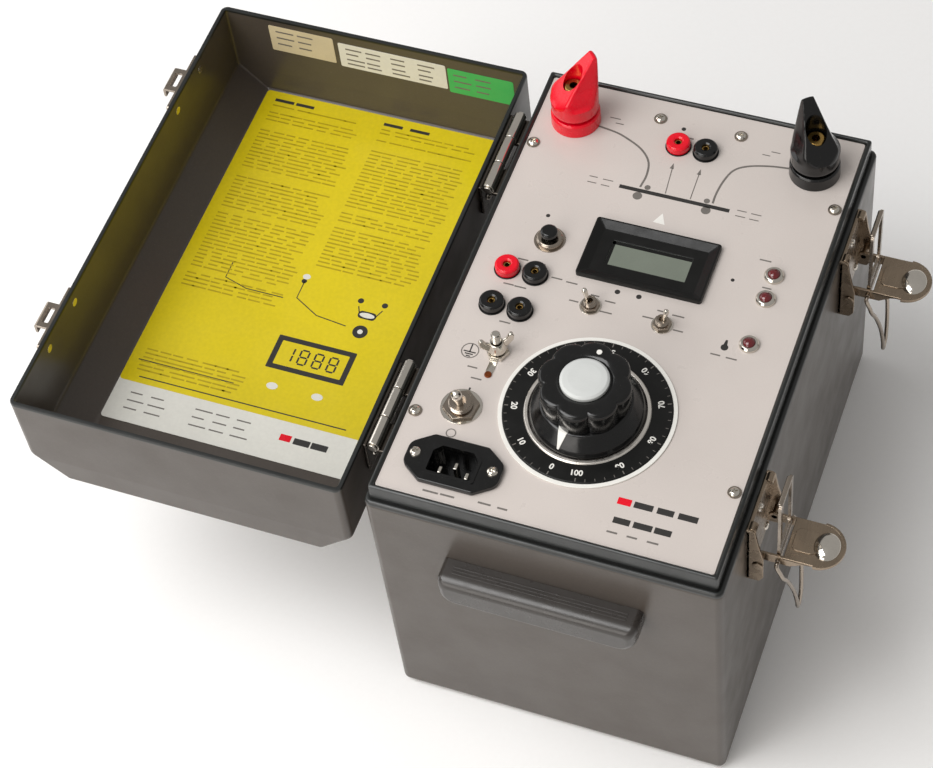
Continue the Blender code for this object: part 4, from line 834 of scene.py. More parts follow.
def lid_label():
    """Laminated sheet: yellow field over a white one, columns of print and small drawings."""
    left, right, back, front = -265.2, -124.6, 135.7, -99.3
    split = -74.4
    low = LID_FLOOR + WALL + 0.05
    top = low + 0.45
    middle = (left + right) / 2
    sheet = slab(rectangle((right - left) / 2, (back - front) / 2, 2,
        (middle, (back + front) / 2)), low, top, 0.12, 2)
    piece("sheet_backing", sheet, SHEET_WHITE, "lid", "instruction_label")
    yellow = rectangle((right - left) / 2 - 0.08, (back - split) / 2 - 0.06, 1.9,
        (middle, (back + split) / 2))
    piece("sheet_yellow_field", slab(yellow, top, top + 0.05, 0), YELLOW, "lid")
    z = top + 0.05
    chance = random.Random(7)
    points = []
    for column, width in ((left + 7, 58), (middle + 4, 58)):
        y = back - 10
        while y > split + 8:
            in_drawing = column > middle and y < 24 or column < middle and -52 < y < -8
            if not in_drawing and chance.random() > 0.1:
                x = column
                while x < column + width - 6:
                    points.append((x, y, z))
                    x += chance.uniform(6.5, 9.5)
            y -= 2.7
    small_print("sheet_print_lines", points, 5.2, 8.2, 0.95, OLIVE_INK, "lid", 11)
    heads = [(left + 7, back - 6, z), (left + 20, back - 6, z), (middle + 4, back - 6, z),
        (middle + 20, back - 6, z)]
    small_print("sheet_print_headings", heads, 9, 12, 2.0, INK, "lid", 3)
    edge, hole = rectangle(22.5, 10.8, 0.5, (-169.6, -34)), rectangle(19.4, 7.8, 0.5,
        (-169.6, -34))
    piece("sheet_drawing_frame", stencil([edge, hole], z, z + 0.06), INK, "lid")
    bars = {"a": (0, 1, True), "b": (1, 0.5, False), "c": (1, -0.5, False), "d": (0, -1, True),
        "e": (-1, -0.5, False), "f": (-1, 0.5, False), "g": (0, 0, True)}
    segments = []
    for k, lit in enumerate(("bc", "abcdefg", "abcdefg", "abcdefg")):
        for bar in lit:
            across, up, lying = bars[bar]
            middle_at = (-182.6 + 8.4 * k + across * 2.3, -34 + up * 4.6)
            segments.append(rectangle(1.9 if lying else 0.5, 0.5 if lying else 1.9, 0.3,
                middle_at))
    ink("sheet_drawing_digits", segments, INK, "lid", z)
    ink("sheet_drawing_spots", [circle(1.5, (-193, 13.6), 24), circle(1.7, (-158.1, 10), 24),
        circle(1.7, (-144.3, 10.5), 24), rectangle(5.2, 2.5, 2.2, (-151.3, 1.6))], INK, "lid", z)
    ring_edge, ring_hole = circle(4.2, (-151.1, -9.4), 32), circle(1.5, (-151.1, -9.4), 32)
    piece("sheet_drawing_rings", stencil([ring_edge, ring_hole], z, z + 0.06), INK, "lid")
    pale = [[(x + a * cos(t), y + b * sin(t)) for t in (2 * pi * k / 32 for k in range(32))]
        for x, y, a, b in ((-183.5, -55.6, 3.2, 2.2), (-157.6, -55.5, 3.2, 2.2),
        (-192.7, 16.7, 2.2, 1.8), (-151.3, 1.6, 4.3, 1.6), (-151.1, -9.4, 1.5, 1.5))]
    ink("sheet_drawing_plates", pale, SHEET_WHITE, "lid", z + 0.06)
    wires = [stroke([(-236, 15.4), (-236, 4), (-222, 0), (-200, 0)], 0.6),
        stroke([(-192.7, 13.5), (-192.7, 2), (-178, -6), (-160, -8)], 0.6),
        stroke([(-158, 6.4), (-156, 2)], 0.6), stroke([(-144.3, 7), (-146.5, 2)], 0.6),
        rectangle(28, 0.35, 0.1, (-232, -60)), rectangle(60, 0.35, 0.1, (-195, split + 4))]
    ink("sheet_drawing_wires", wires, INK, "lid", z)
    footer = [(x, y, z - 0.05) for y in (-81, -86, -91) for x in (left + 10, left + 22, left + 48,
        left + 60, left + 72)]
    small_print("sheet_footer_lines", footer, 6, 10, 0.8, GREY_INK, "lid", 8)
    ink("sheet_footer_red", [rectangle(3.2, 2, 0.3, (-164, -84.2))], RED, "lid", z - 0.05)
    ink("sheet_footer_bars", [rectangle(4.6, 1.9, 0.3, (-154.6 + 10 * k, -84.6))
        for k in range(2)], INK, "lid", z - 0.05)


def stickers():
    """Paper stickers on the lid's back wall: beige, white and green."""
    wall = CASE_Y - WALL
    lay = Matrix(((1, 0, 0, 0), (0, 0, 1, wall - 0.16), (0, 1, 0, 0), (0, 0, 0, 1)))
    for name, low, high, z_low, z_high, surface in (("sticker_beige", -257, -218, 162, 182.2,
            BEIGE), ("sticker_white", -215.2, -151.2, 160.8, 180, SHEET_WHITE),
            ("sticker_green", -150.2, -111.6, 159, 178.6, GREEN)):
        shape = rectangle((high - low) / 2, (z_high - z_low) / 2, 1,
            ((low + high) / 2, (z_low + z_high) / 2))
        piece(name, slab(shape, 0, 0.15, 0, lay=lay), surface, "lid")
    upright = Matrix.Translation((0, -0.06, 0)) @ lay
    rows = [(x, z, 0) for z in (176, 172, 167.5, 164) for x in (-211, -199, -184, -168)]
    rows += [(x, z, 0) for z in (178, 173, 168) for x in (-253, -240)]
    rows += [(x, z, 0) for z in (174, 169, 164) for x in (-147, -134)]
    small_print("sticker_print_lines", rows, 7, 11, 1.1, GREY_INK, "lid", 6, upright)


# ---- hinges ----
def hinge(place, middle):
    length = 52.0
    third = length / 3
    for side, body in ((1, "case"), (-1, "lid")):
        wall = HINGE_X + side * PIN_OUT
        near, far = wall - side * 0.05, wall - side * 1.8
        top = 183.6 if side > 0 else 186.0
        low_x, high_x = sorted((near, far))
        leaf = block((low_x, middle - length / 2, top - 22), (high_x, middle + length / 2, top),
            0.45)
        spans = ((0, third - 0.3), (2 * third + 0.3, length)) if side > 0 else (
            (third, 2 * third),)
        parts, barrels = [leaf], []
        for start, end in spans:
            start, end = middle - length / 2 + start, middle - length / 2 + end
            low_x, high_x = sorted((near, HINGE_X))
            parts.append(block((low_x, start, HINGE_Z - 4.6), (high_x, end, HINGE_Z - 2.1), 0.5))
            barrels.append(rod_y(3.3, HINGE_X, HINGE_Z, start, end, 0.4, 40))
        piece(f"hinge_{body}_barrel_{place}", barrels, CHROME, body)
        piece(f"hinge_{body}_leaf_{place}", parts, HINGE_STEEL, body, f"hinge_leaf_{body}_{place}")
        spots = [(far, middle + dy, top - 15.5) for dy in (-18, 0, 18)]
        fasteners(f"hinge_{body}_screws_{place}", SMALL_PAN, spots, (-side, 0, 0), CHROME, body,
            seed=12 + side, size=1.1)
    pin = [rod_y(radius, HINGE_X, HINGE_Z, middle + start, middle + end, width)
        for radius, start, end, width in ((1.6, -27, 27, 0.4), (2.4, -27.2, -26.1, 0.3),
        (2.4, 26.1, 27.2, 0.3))]
    piece(f"hinge_pin_{place}", pin, CHROME)


# ---- latches ----
def latch(place, middle):
    wall = CASE_X + 0.05
    face = wall + 1.75
    upright = Matrix(((0, 0, 1, 0), (1, 0, 0, 0), (0, 1, 0, 0), (0, 0, 0, 1)))
    parts = [slab(rectangle(18, 22.4, 1.2, (middle, 161.5)), wall, face, 0.3, lay=upright)]
    side_lay = Matrix(((1, 0, 0, 0), (0, 0, 1, 0), (0, 1, 0, 0), (0, 0, 0, 1)))
    for side in (-1, 1):
        low_y, high_y = sorted((middle + side * 16.5, middle + side * 18))
        flange = fillet([(wall, 139.2), (wall + 6.4, 139.2), (wall + 8.6, 143), (wall + 8.6, 160),
            (wall + 6, 172), (wall + 4.2, 184), (wall, 184)], [0, 1.6, 1.6, 3, 3, 2, 0], 4)
        parts.append(slab(flange, low_y, high_y, 0.35, 2, side_lay))
        for radius, x, z, start, end, width in ((1.7, PIVOT_X, PIVOT_Z, 10.8, 18.4, 0.2),
                (2.7, PIVOT_X, PIVOT_Z, 18, 18.9, 0.4), (2.2, face + 0.6, 182.4, 12, 17, 0.4)):
            parts.append(rod_y(radius, x, z, middle + side * start, middle + side * end, width))
    piece(f"latch_channel_{place}", parts, DRAWN, "case", f"latch_plate_{place}")
    fasteners(f"latch_screws_{place}", SLOTTED, [(face, middle, 178), (face, middle - 11, 143.6),
        (face, middle + 11, 143.6)], (1, 0, 0), CHROME, seed=15, size=0.9)
    # hand lever: cheeks, top plate with pressed rib, bright thumb pad
    lever = f"latch_lever_{place}"
    start, tip, top = LINK_X + 2.6, PIVOT_X + 38, PIVOT_Z + 3.2
    nose = [(tip - 12.3 + 12.3 * cos(a), middle + 12.3 * sin(a))
        for a in (pi * (k / 20 - 0.5) for k in range(21))]
    outline = [(start, middle + 12.3), (start, middle - 12.3)] + nose
    parts = [slab(outline, top - 1.5, top, 0.4)]
    for side in (-1, 1):
        low_y, high_y = sorted((middle + side * 10.8, middle + side * 12.3))
        cheek = [(PIVOT_X + 3.2 * cos(a), PIVOT_Z + 3.2 * sin(a))
            for a in (pi / 2 + pi * k / 10 for k in range(11))]
        cheek += [(start + 3.5, PIVOT_Z - 3.2), (start + 9.5, PIVOT_Z + 1.1),
            (start + 17, top - 0.4), (start, top - 0.1)]
        parts.append(slab(cheek, low_y, high_y, 0.35, 2, side_lay))
    parts.append(slab(rectangle(6.2, 6.6, 3, (start + 8.2, middle)), top - 0.2, top + 0.5, 0.5, 3))
    rim = stroke([(x, y) for x, y in nose], 1.6)
    parts.append(slab(rim, top - 2.1, top + 0.1, 0.4, 2))
    piece(f"lever_{place}", parts, DRAWN, lever, f"latch_lever_{place}")
    pad = lathe([(0, 3.3), (2.4, 3.2), (4.6, 2.7), (6.2, 1.7), (6.9, 0.6), (7.1, 0), (0, 0)],
        (0, 0, 0), 48)
    pad.transform(Matrix.Translation((tip - 8.2, middle, top - 0.05)) @ Matrix.Diagonal(
        (0.95, 1.15, 0.9, 1)))
    piece(f"lever_pad_{place}", pad, CHROME, lever)
    # claw frame and its pin
    link = f"latch_link_{place}"
    window = rectangle(7.6, 17.4, 1.5, (middle, LINK_Z + 26.5))
    frame_edge = rectangle(10.45, 22.9, 2.2, (middle, LINK_Z + 23.2))
    sheet = stencil([frame_edge, window], LINK_X - 0.75, LINK_X + 0.75, upright)
    curl = rod_y(1.35, LINK_X - 0.5, LINK_Z + 45.2, middle - 8.6, middle + 8.6, 0.5)
    ends = [rod_y(1.3, LINK_X, LINK_Z, middle - 12.9, middle + 12.9, 0.3)]
    ends += [block((LINK_X - 1.3, middle - 10.4, LINK_Z - 1),
        (LINK_X + 1.3, middle + 10.4, LINK_Z + 4.4), 0.8)]
    piece(f"claw_{place}", merged(sheet, curl, *ends), NICKEL, link, f"latch_link_{place}")
    # safety wire
    half = [(0, 13.4, 0), (0.3, 15.0, -1.2), (2.2, 15.0, -6.6), (3.4, 14.0, -12), (5, 11, -19.2),
        (7.2, 6.8, -34.2), (8.2, 3.6, -49.8), (8.1, 1.6, -57.6)]
    knots = half + [(8, 0, -60)] + [(x, -y, z) for x, y, z in reversed(half)]
    path = [Vector((LINK_X, middle, LINK_Z)) + p for p in smooth_curve(knots, 96)]
    piece(f"safety_wire_{place}", tube(path, 1.1, 14), NICKEL, f"latch_wire_{place}",
        f"latch_wire_{place}")
    # keeper on the lid's far wall
    outer = LID_X - CASE_X - 0.05
    high = LID_RIM - 1.2
    plate_y = rectangle(20, 6, 1.2, (middle, high - 6))
    trough = [(outer - 1.2, high), (outer - 8.9, high), (outer - 8.9, high - 6.5),
        (outer - 7.4, high - 6.5), (outer - 7.4, high - 1.6), (outer - 1.2, high - 1.6)]
    hook = slab(fillet(trough, [0, 1.6, 0.5, 0.5, 0.5, 0], 4), middle - 8, middle + 8, 0.3, 2,
        side_lay)
    hook = minus(hook, block((outer - 6.4, middle - 4.8, high - 4),
        (outer - 2, middle + 4.8, high + 2), 0.8))
    piece(f"keeper_{place}", merged(slab(plate_y, outer - 1.55, outer, 0.35, 2, upright), hook),
        NICKEL, "lid", f"lid_keeper_{place}")
    spots = [(outer - 1.5, middle + dy, high - 6.5) for dy in (-15.4, 15.4)]
    fasteners(f"keeper_rivets_{place}", RIVET, spots, (-1, 0, 0), NICKEL, "lid", seed=2)
    inside = LID_X - CASE_X + WALL
    tails = [slab(circle(2.3, (middle + dy, high - 6.5)), inside - 0.05, inside + 0.13, 0.05, 2,
        upright) for dy in (-15.4, 15.4)]
    piece(f"keeper_rivet_tails_{place}", tails, CHROME, "lid")


# ---- terminals, sockets, lamps ----
def wedge_knob():
    """Round clamp knob whose top rises as a slanted wing with the plug hole in its face."""
    foot, reach, tip, shoulder, low = 12.6, 13.4, 45.0, 20.0, 10.2
    blend = 14                          # how sharply the wing's faces meet
    levels = [low, low + 0.25, low + 0.9] + [low + 2 + (tip - 3.5 - low) * k / 26
        for k in range(27)]
    levels += [tip - 0.9, tip - 0.3, tip]
    loops = []
    for z in levels:
        rise = max(z - shoulder + 1.5, 0) / (tip - shoulder + 1.5)
        radius = foot + (reach - foot) * (z - low) / (tip - low)
        radius -= 0.8 if z == low else 0.25 if z < low + 0.3 else 0
        radius -= {tip: 1.5, tip - 0.3: 0.8, tip - 0.9: 0.3}.get(z, 0)
        front = -foot + (reach - 2.5 + foot) * rise
        half = foot + 0.5
        if z > 15:
            half = max(foot + 0.5 - (z - 15) * 0.423, 7.6 - max(z - 28, 0) * 0.27)
        if z == tip:
            front, half = front + 0.5, half - 0.9
        centre = (max(front, -radius) + radius) / 2
        loop = []
        for k in range(72):
            a = 2 * pi * k / 72
            ux, uy = cos(a), sin(a)
            limits = [-centre * ux + sqrt(max(radius ** 2 - (centre * uy) ** 2, 0))]
            if rise > 0 and abs(uy) > 1e-6:
                limits.append(half / abs(uy))
            if rise > 0 and ux < -1e-6:
                limits.append(max((centre - front) / -ux, 0.01))
            away = sum(r ** -blend for r in limits) ** (-1 / blend)
            loop.append((centre + ux * away, uy * away, z))
        loops.append(loop)
    return minus(loft(loops), rod(5.45, (0, 0, 0), (0, 0, 60), 0, 48))


def terminal(colour, surface, side, turn):
    x, y = side * KNOB_X, KNOB_Y
    piece(f"collar_{colour}", turned([(5.4, 8.3), (12.4, 8.3, 0.8), (13.1, 7.2, 0.8),
        (13.3, 0, 0.3), (5.4, 0)], (x, y, PANEL), 72), surface, "case",
        f"terminal_collar_{colour}")
    piece(f"clamp_washer_{colour}", turned([(5.3, 10.1, 0.3), (9.6, 10.1, 0.3), (9.6, 8.4, 0.3),
        (5.3, 8.4, 0.3)], (x, y, PANEL), 64, 3, True), NICKEL)
    knob = wedge_knob()
    knob.transform(Matrix.Translation((x, y, PANEL + 0.3)) @ Matrix.Rotation(turn, 4, "Z"))
    piece(f"clamp_knob_{colour}", knob, surface, f"wing_knob_{colour}", f"wing_knob_{colour}")
    piece(f"clamp_stud_{colour}", turned([(2.2, 26.8, 0.2), (4.2, 26.8, 0.4), (4.95, 26.1, 0.4),
        (4.95, -23.5, 0.4), (4.2, -24, 0.4), (0, -24), (0, 13), (2.2, 13, 0.2)],
        (x, y, PANEL + 0.3), 48, 3), BRASS, "case", f"terminal_stud_{colour}")


def socket(name, x, y):
    red = name.endswith("red")
    body = turned([(2.1, 4.4, 0.2), (2.9, 4.9, 0.4), (5.4, 4.9, 0.8), (6.3, 4.0, 0.6),
        (6.3, 0, 0.3), (4, 0), (4, -13.6), (0, -13.6), (0, -8), (2.1, -8)], (x, y, PANEL), 56)
    piece(f"{name}_cap", body, RED if red else BLACK, "case", name)
    piece(f"{name}_contact", turned([(1.2, 3.4, 0.2), (2.0, 3.4, 0.2), (2.0, -7, 0.2),
        (1.2, -7, 0.2)], (x, y, PANEL), 32, 2, True), BRASS)
    piece(f"{name}_nut", slab(circle(6.9, (x, y), 56), PANEL - 0.02, PANEL + 0.6, 0.2, 2), SATIN)


def lamp(name, x, y):
    piece(f"{name}_ring", turned([(3.25, 2.2, 0.2), (4.2, 2.4, 0.5), (5.1, 1.2, 0.6),
        (5.2, 0, 0.2), (3.6, 0), (3.6, -11.6), (3.25, -11.6)], (x, y, PANEL), 48), CHROME, "case",
        f"{name}_bezel")
    dome = [(0, 3.6), (1.2, 3.5), (2.2, 3.15), (2.9, 2.5), (3.2, 1.7), (3.2, -0.6), (0, -0.6)]
    piece(f"{name}_jewel", lathe(dome, (x, y, PANEL), 40), LENS, "case", f"{name}_lens")
    facets = [rod(0.18, (0.9 * cos(a) + x, 0.9 * sin(a) + y, PANEL + 3.52),
        (2.9 * cos(a) + x, 2.9 * sin(a) + y, PANEL + 2.42), 0.05, 6)
        for a in (2 * pi * k / 8 for k in range(8))]
    piece(f"{name}_facets", facets, LENS)


def nut(radius, low, high, at, sides=6, turn=0.3):
    """A chamfered hexagon nut."""
    return slab(circle(radius, at, sides, turn), low, high, 0.35, 2)


def threads(radius, low, high, at, pitch=0.75):
    """Ridges of a fine thread as stacked rings."""
    count = int((high - low) / pitch)
    profile = [(radius * 0.86, high)]
    for k in range(count):
        top = high - k * pitch
        profile += [(radius * 0.9, top - 0.05), (radius, top - pitch * 0.5),
            (radius * 0.9, top - pitch + 0.05)]
    profile += [(radius * 0.86, low), (radius * 0.5, low), (radius * 0.5, high)]
    return lathe(profile, (*at, 0), 40)


def button():
    x, y = -52.2, 29.8
    piece("button_collar", merged(turned([(3.5, 3.2, 0.3), (6.0, 3.2, 0.8), (7.0, 2.2, 0.8),
        (7.2, 0, 0.2), (3.5, 0)], (x, y, PANEL), 56), threads(4.9, PANEL - 15, PANEL - 2, (x, y))),
        NICKEL, "case", "button_bushing")
    piece("button_washer", slab(circle(8.2, (x, y), 56), PANEL - 0.02, PANEL + 0.5, 0.15, 2),
        NICKEL)
    piece("button_plunger", turned([(0, 8.5), (3.4, 8.5, 1.2), (4.4, 7.6, 0.6), (4.5, 5.6, 0.3),
        (3.1, 5.5, 0.2), (3.1, -7.5, 0.2), (0, -7.5)], (x, y, PANEL), 48), BLACK, "button",
        "button_cap")


def toggle(name, at, bush, length, ball, axis, sign):
    x, y = at
    body = f"{name}_lever"
    mouth = ball + 1.2
    parts = [threads(bush, PANEL + 0.4, PANEL + 5.0, (x, y), 0.7),
        turned([(mouth * 0.8, 5.35, 0.2), (bush * 0.93, 5.35, 0.2), (bush * 0.93, 4.6, 0.2),
        (mouth * 0.8, 4.6, 0.2)], (x, y, PANEL), 40, 2, True),
        nut(bush * 1.55, PANEL + 0.6, PANEL + 2.5, (x, y), turn=0.4),
        threads(bush, PANEL - 13, PANEL - 2, (x, y), 0.7)]
    piece(f"{name}_bush", parts, NICKEL, "case", f"{name}_bushing")
    piece(f"{name}_washer", slab(circle(bush * 1.75, (x, y), 48), PANEL - 0.02, PANEL + 0.6, 0.2,
        2), CHROME)
    stem = [(0, length + ball * 0.55), (ball * 0.5, length + ball * 0.42),
        (ball * 0.9, length - ball * 0.2), (ball, length - ball),
        (ball * 0.9, length - ball * 1.9), (ball * 0.66, 5), (ball * 0.58, 0), (ball * 0.62, -3),
        (0, -3.2)]
    mesh = lathe(fillet(stem, [0, ball * 0.4, ball * 0.6, ball, ball * 1.5, 2, 1, 0.3, 0], 4),
        steps=40)
    mesh.transform(Matrix.Translation((x, y, PANEL + 0.3)) @ Matrix.Rotation(sign * TOGGLE_LEAN, 4,
        axis))
    piece(f"{name}_stick", mesh, CHROME, body, f"{name}_lever")


def earth():
    x, y = -54.2, -44.0
    piece("earth_stud", merged(turned([(0, 16), (1.9, 16, 0.3), (2.3, 15.4, 0.3),
        (2.3, -11.6, 0.3), (0, -11.6)], (x, y, PANEL + 0.2), 40, 3),
        threads(2.42, PANEL + 9.5, PANEL + 15.4, (x, y), 0.6),
        nut(6.2, PANEL + 0.02, PANEL + 2.6, (x, y), turn=0.1)), CHROME, "case", "earth_post")
    barrel = turned([(2.75, 6, 0.3), (3.5, 6, 0.5), (4.9, 0.2, 0.5), (2.75, 0.2, 0.1)],
        (0, 0, 2.8), 48, 3, True)
    stand = Matrix(((1, 0, 0, 0), (0, 0, -1, 0), (0, 1, 0, 0), (0, 0, 0, 1)))
    wings = []
    for side in (-1, 1):
        outline = [(side * a, 2.8 + b) for a, b in ((3.0, 0.8), (5, 1), (8.8, 5.4), (9.2, 8.6),
            (8.4, 10.6), (6.8, 10.2), (5, 7), (3.0, 5.4))]
        wings.append(slab(fillet(outline, 1.0, 4, True), -1.1, 1.1, 0.6, 3, stand))
    wing = merged(barrel, *wings)
    wing.transform(Matrix.Translation((x, y, PANEL + 0.3)) @ Matrix.Rotation(radians(35), 4, "Z"))
    piece("earth_clamp_nut", wing, CHROME, "earth_nut", "earth_wing_nut")
    piece("earth_tag", slab(rectangle(1.9, 5, 1, (x - 0.1, y - 8.4)), PANEL + 0.02, PANEL + 0.6,
        0.15, 2), CHROME)
    piece("earth_tag_tip", slab(circle(1.9, (x - 0.1, y - 14.3), 32), PANEL + 0.02, PANEL + 0.9,
        0.3, 2), COPPER)


# ---- display and inlet ----
def display():
    cx, cy = 0.6, 30.8

    def ring(dx, dy, z, radius=1.0):
        return [(x, y, z) for x, y in rectangle(33.2 - dx, 18.6 - dy, radius, (cx, cy), 5)]

    profile = [(0, 0, PANEL), (0, 0, PANEL + 2.6), (0.25, 0.25, PANEL + 2.95),
        (0.9, 0.9, PANEL + 3.0), (1.3, 1.2, PANEL + 2.8), (5.2, 5.0, PANEL + 0.75),
        (5.6, 5.4, PANEL + 0.6), (11.4, 10.4, PANEL + 0.55), (11.9, 10.9, PANEL + 0.3),
        (12, 11, PANEL - 1.5), (9, 9, PANEL - 1.5), (8.6, 8.6, PANEL - 17), (8, 8, PANEL - 18),
        (8, 8, PANEL - 1)]
    loops = [ring(dx, dy, z, max(1.4 - dx * 0.08, 0.4)) for dx, dy, z in profile]
    piece("display_frame", loft(loops, closed=True), SATIN, "case", "display_bezel")
    glass = slab(rectangle(21.3, 7.9, 0.5, (cx, cy)), PANEL - 0.9, PANEL + 0.1, 0.1, 2)
    piece("display_pane", glass, GLASS, "case", "display_window")
    # Painted shade: thin dark strips laid on the glass along its far edge and its left edge, so
    # the pane reads darker there.
    painted_shade_strips = [rectangle(21.2, 1.0, 0.2, (cx, cy + 6.6)), rectangle(0.8, 7.6, 0.2, (cx - 20.4, cy))]
    ink("display_shade", painted_shade_strips, SATIN, "case", PANEL + 0.1, 0.05)


def inlet():
    x, y = -52.0, -113.5

    def about(corners, radii, steps):
        return [(x + a, y + b) for a, b in fillet(corners, radii, steps, True)]

    outline = about([(-24.5, -6), (-14, -13.5), (14, -13.5), (24.5, -6), (24.5, 6), (14, 13.5),
        (-14, 13.5), (-24.5, 6)], [6, 3, 3, 6, 6, 3, 3, 6], 6)
    recess = about([(-11.7, -7.7), (11.7, -7.7), (11.7, 4), (8, 7.7), (-8, 7.7), (-11.7, 4)],
        [1, 1, 0.8, 0.8, 0.8, 0.8], 3)
    flange = minus(merged(slab(outline, PANEL, PANEL + 3.2, 0.7, 3)),
        slab(recess, PANEL - 3, PANEL + 6, 0))
    well = stencil([rectangle(13.4, 9.7, 1, (x, y)), recess], PANEL - 14.6, PANEL + 0.4)
    floor = block((x - 13.4, y - 9.7, PANEL - 16.6), (x + 13.4, y + 9.7, PANEL - 14.4), 0.3)
    lip = stencil([[(x + (a - x) * 1.12, y + (b - y) * 1.16) for a, b in recess], recess],
        PANEL + 3.1, PANEL + 3.7)
    piece("inlet_moulding", merged(flange, well, floor, lip), BLACK, "case", "inlet_socket")
    blades = [block((x + dx - 1, y + dy - 2, PANEL - 14.5), (x + dx + 1, y + dy + 2, PANEL - 2.6),
        0.5) for dx, dy in ((-7, -2), (0, 2), (7, -2))]
    piece("inlet_blades", blades, CHROME)
    fasteners("inlet_screws", PAN, [(x - 19.9, y + 0.6, PANEL + 3.15),
        (x + 19.9, y + 0.6, PANEL + 3.15)], UP, CHROME, seed=21, size=0.95)


# ---- dial ----
def dial():
    x, y, z = DIAL_X, DIAL_Y, PANEL
    border = turned([(41.6, 0.9, 0.25), (44.1, 0.9, 0.25), (44.1, 0, 0.25), (41.6, 0, 0.25)],
        (x, y, z), 160, 2, True)
    piece("dial_border", border, WHITE)
    plate = turned([(31.2, 1.5, 0.2), (41.4, 1.5, 0.5), (42.1, 0.9, 0.3), (42.1, 0), (31.2, 0)],
        (x, y, z), 160, 3)
    piece("dial_plate", plate, SATIN, "case", "dial_scale_ring")
    trim = turned([(28.9, 1.5, 0.2), (29.4, 2.2, 0.5), (31.0, 2.2, 0.5), (31.5, 1.5, 0.2),
        (31.5, 0), (28.9, 0)], (x, y, z), 160, 4, True)
    piece("dial_trim_ring", trim, SILVER)
    marks = []
    for k in range(11):
        angle = -pi / 2 - radians(10 + 34 * k)
        radius = 36.3
        at = (x + radius * cos(angle), y + radius * sin(angle), z + 1.52)
        marks.append(numeral(str(10 * k), 4.3, at, angle + pi / 2))
    piece("dial_numbers", marks, WHITE)
    ticks = []
    for k in range(51):
        angle = -pi / 2 - radians(10 + 6.8 * k)
        mark = stroke([(x + r * cos(angle), y + r * sin(angle))
            for r in ((39.6, 41.1) if k % 5 else (39.2, 41.1))], 0.28 if k % 5 else 0.5)
        ticks.append(slab(mark, z + 1.49, z + 1.53, 0))
    piece("dial_ticks", ticks, GREY_INK)
    skirt = turned([(0, 13), (18, 13), (22.6, 12.4, 2.5), (27.6, 5.2, 3), (28.6, 2.6, 0.5),
        (28.6, 1.2, 0.3), (0, 1.2)], (x, y, z), 128, 6)
    piece("knob_skirt", skirt, BLACK, "dial", "dial_knob")
    # fluted grip: the outline's radius swings between lobe and flute
    def flute(scale, level, shrink=0.0):
        ring = []
        for k in range(192):
            a = 2 * pi * k / 192
            wave = abs(cos(4 * a)) ** 0.7
            r = (23.4 - 2.6 * (1 - wave)) * scale - shrink
            ring.append((x + r * cos(a), y + r * sin(a), z + level))
        return ring
    grip_rows = [flute(scale, level, shrink) for scale, level, shrink in ((0.93, 12.4, 0),
        (0.955, 13, 0), (0.97, 14.2, 0), (0.985, 20, 0), (1.0, 25.2, 0), (1.0, 26.6, 0.1),
        (1.0, 27.6, 0.6), (1.0, 28.2, 1.5), (1.0, 28.4, 2.8), (0.72, 28.5, 0))]
    grip_rows += [[(x + r * cos(2 * pi * k / 192), y + r * sin(2 * pi * k / 192), z + level)
        for k in range(192)] for r, level in ((14.4, 28.3), (13.2, 27.6), (12.9, 27.0))]
    piece("knob_grip", loft(grip_rows), BLACK, "dial")
    cap = turned([(0, 30.1), (8, 30.0, 6), (11.0, 29.7, 1.2), (12.2, 28.8, 0.6), (12.2, 26.6),
        (0, 26.6)], (x, y, z), 96, 5)
    piece("knob_cap", cap, CAP_GREY, "dial", "dial_cap")
    dot_angle = radians(84)
    dot = turned([(0, 0.35), (1.3, 0.35, 0.15), (1.5, 0, 0.1), (0, 0)],
        (x + 17.2 * cos(dot_angle), y + 17.2 * sin(dot_angle), z + 28.4), 32, 3)
    piece("knob_dot", dot, WHITE, "dial")
    # white pointer painted down the skirt's cone
    a = atan2(-95.2 - y, -6.4 - x)
    way = Vector((cos(a), sin(a)))
    cross = Vector((-way.y, way.x))
    rows = []
    for k in range(9):
        t = k / 8
        r = 17.5 + (28.0 - 17.5) * t
        half = 3.6 * (1 - t) + 0.5
        h = 12.95 if r < 22.6 else 12.95 - (r - 22.6) * 1.46
        centre = way * r
        rows.append([(x + centre.x + cross.x * s, y + centre.y + cross.y * s, z + max(h, 2.7)
            + lift) for s, lift in ((-half, 0.02), (half, 0.02), (half, -0.4), (-half, -0.4))])
    piece("knob_pointer", loft(rows), WHITE, "dial")
    piece("dial_spindle", rod(3.9, (x, y, 128), (x, y, z + 20), 0.3), NICKEL, "dial", "dial_shaft")


# ---- put it together ----
case_body()
rim_moulding()
front_panel()
artwork()
grip()
lid_tray()
lid_label()
stickers()
for place, side in (("front", -1), ("back", 1)):
    hinge(place, side * HINGE_Y)
    latch(place, side * LATCH_Y)
terminal("red", RED, -1, radians(42))
terminal("black", BLACK, 1, radians(128))
for name, x, y in (("socket_sense_red", -7.4, 106.7), ("socket_sense_black", 7.4, 106.7),
        ("socket_aux_red", -67, 6.4), ("socket_aux_black", -52, 6.4),
        ("socket_out_left", -67, -17), ("socket_out_right", -52, -17)):
    socket(name, x, y)
for name, x, y in (("lamp_upper", 63.8, 39.5), ("lamp_middle", 63.8, 24.5),
        ("lamp_lower", 63.8, -4.3)):
    lamp(name, x, y)
button()
toggle("toggle_left", (-19, -4), 3.2, 13, 1.5, "Y", -1)
toggle("toggle_right", (19, -5), 3.2, 13, 1.5, "Y", 1)
toggle("mains_toggle", (-60.5, -80), 6.0, 17, 2.8, "X", 1)
earth()
display()
inlet()
dial()

for name, surface in (("busbar_red", COPPER), ("busbar_black", COPPER), ("circuit_board", BOARD),
        ("current_transformer", LAMINATE), ("regulator_core", COPPER)):
    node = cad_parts[name]
    for slot in node.material_slots:
        slot.material = surface

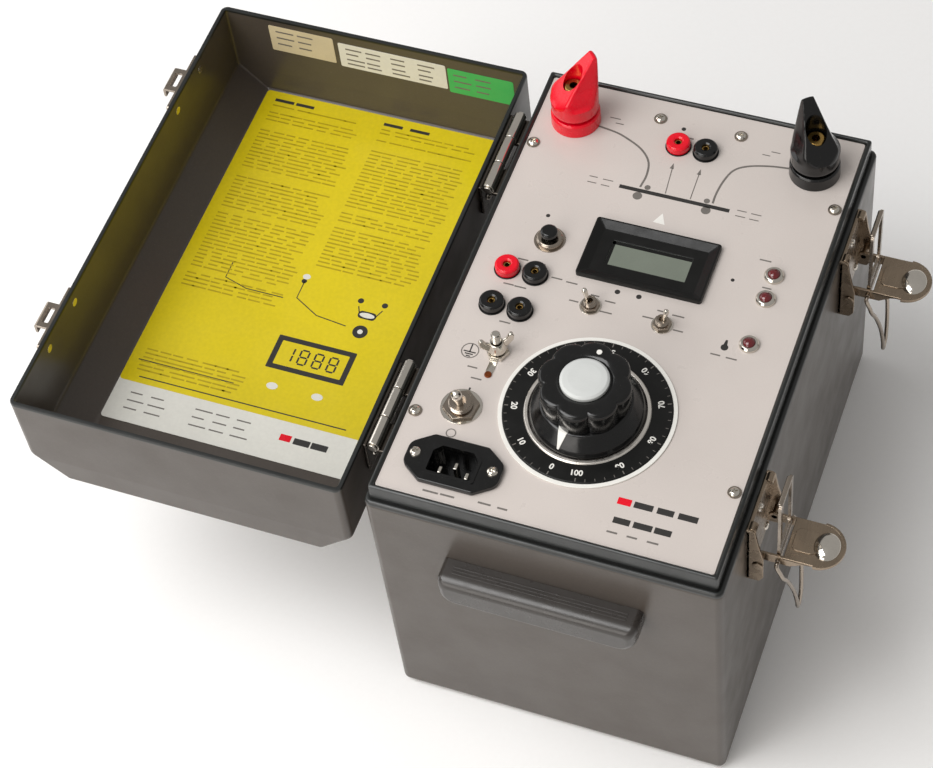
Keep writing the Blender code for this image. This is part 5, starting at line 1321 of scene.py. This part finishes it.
# ---- floor, light and camera ----
FLOOR = finish("studio_paper", "#fdfcfb", 0.7, 0, 0.01, 400, 0.1, 3)
floor_mesh = bpy.data.meshes.new("studio_floor")
floor_mesh.from_pydata([(-6, -6, -0.0005), (6, -6, -0.0005), (6, 6, -0.0005), (-6, 6, -0.0005)],
    [], [(0, 1, 2, 3)])
floor_mesh.materials.append(FLOOR)
floor = placed("studio_floor", floor_mesh)


def softbox(name, at, aim, size, power, colour=(1, 1, 1)):
    lamp_data = bpy.data.lights.new(name, "AREA")
    lamp_data.shape = "RECTANGLE"
    lamp_data.size, lamp_data.size_y = size
    lamp_data.energy = power
    lamp_data.color = colour
    made = placed(name, lamp_data)
    made.location = at
    made.rotation_euler = (Vector(aim) - Vector(at)).to_track_quat("-Z", "Y").to_euler()


softbox("top_softbox", (-0.75, -0.55, 1.75), (-0.05, 0, 0.1), (1.2, 1.2), 24)
softbox("front_softbox", (-0.7, -1.7, 0.9), (0, 0, 0.15), (1.6, 1.1), 15, (1, 0.96, 0.91))
softbox("side_softbox", (-1.6, 0.2, 0.8), (0, 0, 0.15), (1.2, 0.9), 5)

world = bpy.data.worlds.new("studio")
world.use_nodes = True
world.node_tree.nodes["Background"].inputs["Color"].default_value = (1, 0.985, 0.965, 1)
world.node_tree.nodes["Background"].inputs["Strength"].default_value = 0.4
bpy.context.scene.world = world
bpy.context.scene.view_settings.view_transform = "Standard"

eye = Vector((0.2675, -0.7021, 1.2329))
target = Vector((-0.0769, -0.0391, 0.150))
right = Vector((0.93561642, 0.34178862, -0.08833154))
ahead = (target - eye).normalized()
right = (right - ahead * right.dot(ahead)).normalized()
up = right.cross(ahead)
camera_data = bpy.data.cameras.new("camera")
camera_data.lens = 98.4
camera_data.sensor_width = 36
camera_data.clip_start = 0.05
camera = placed("camera", camera_data)
camera.matrix_world = Matrix(((right.x, up.x, -ahead.x, eye.x), (right.y, up.y, -ahead.y, eye.y),
    (right.z, up.z, -ahead.z, eye.z), (0, 0, 0, 1)))
bpy.context.scene.camera = camera
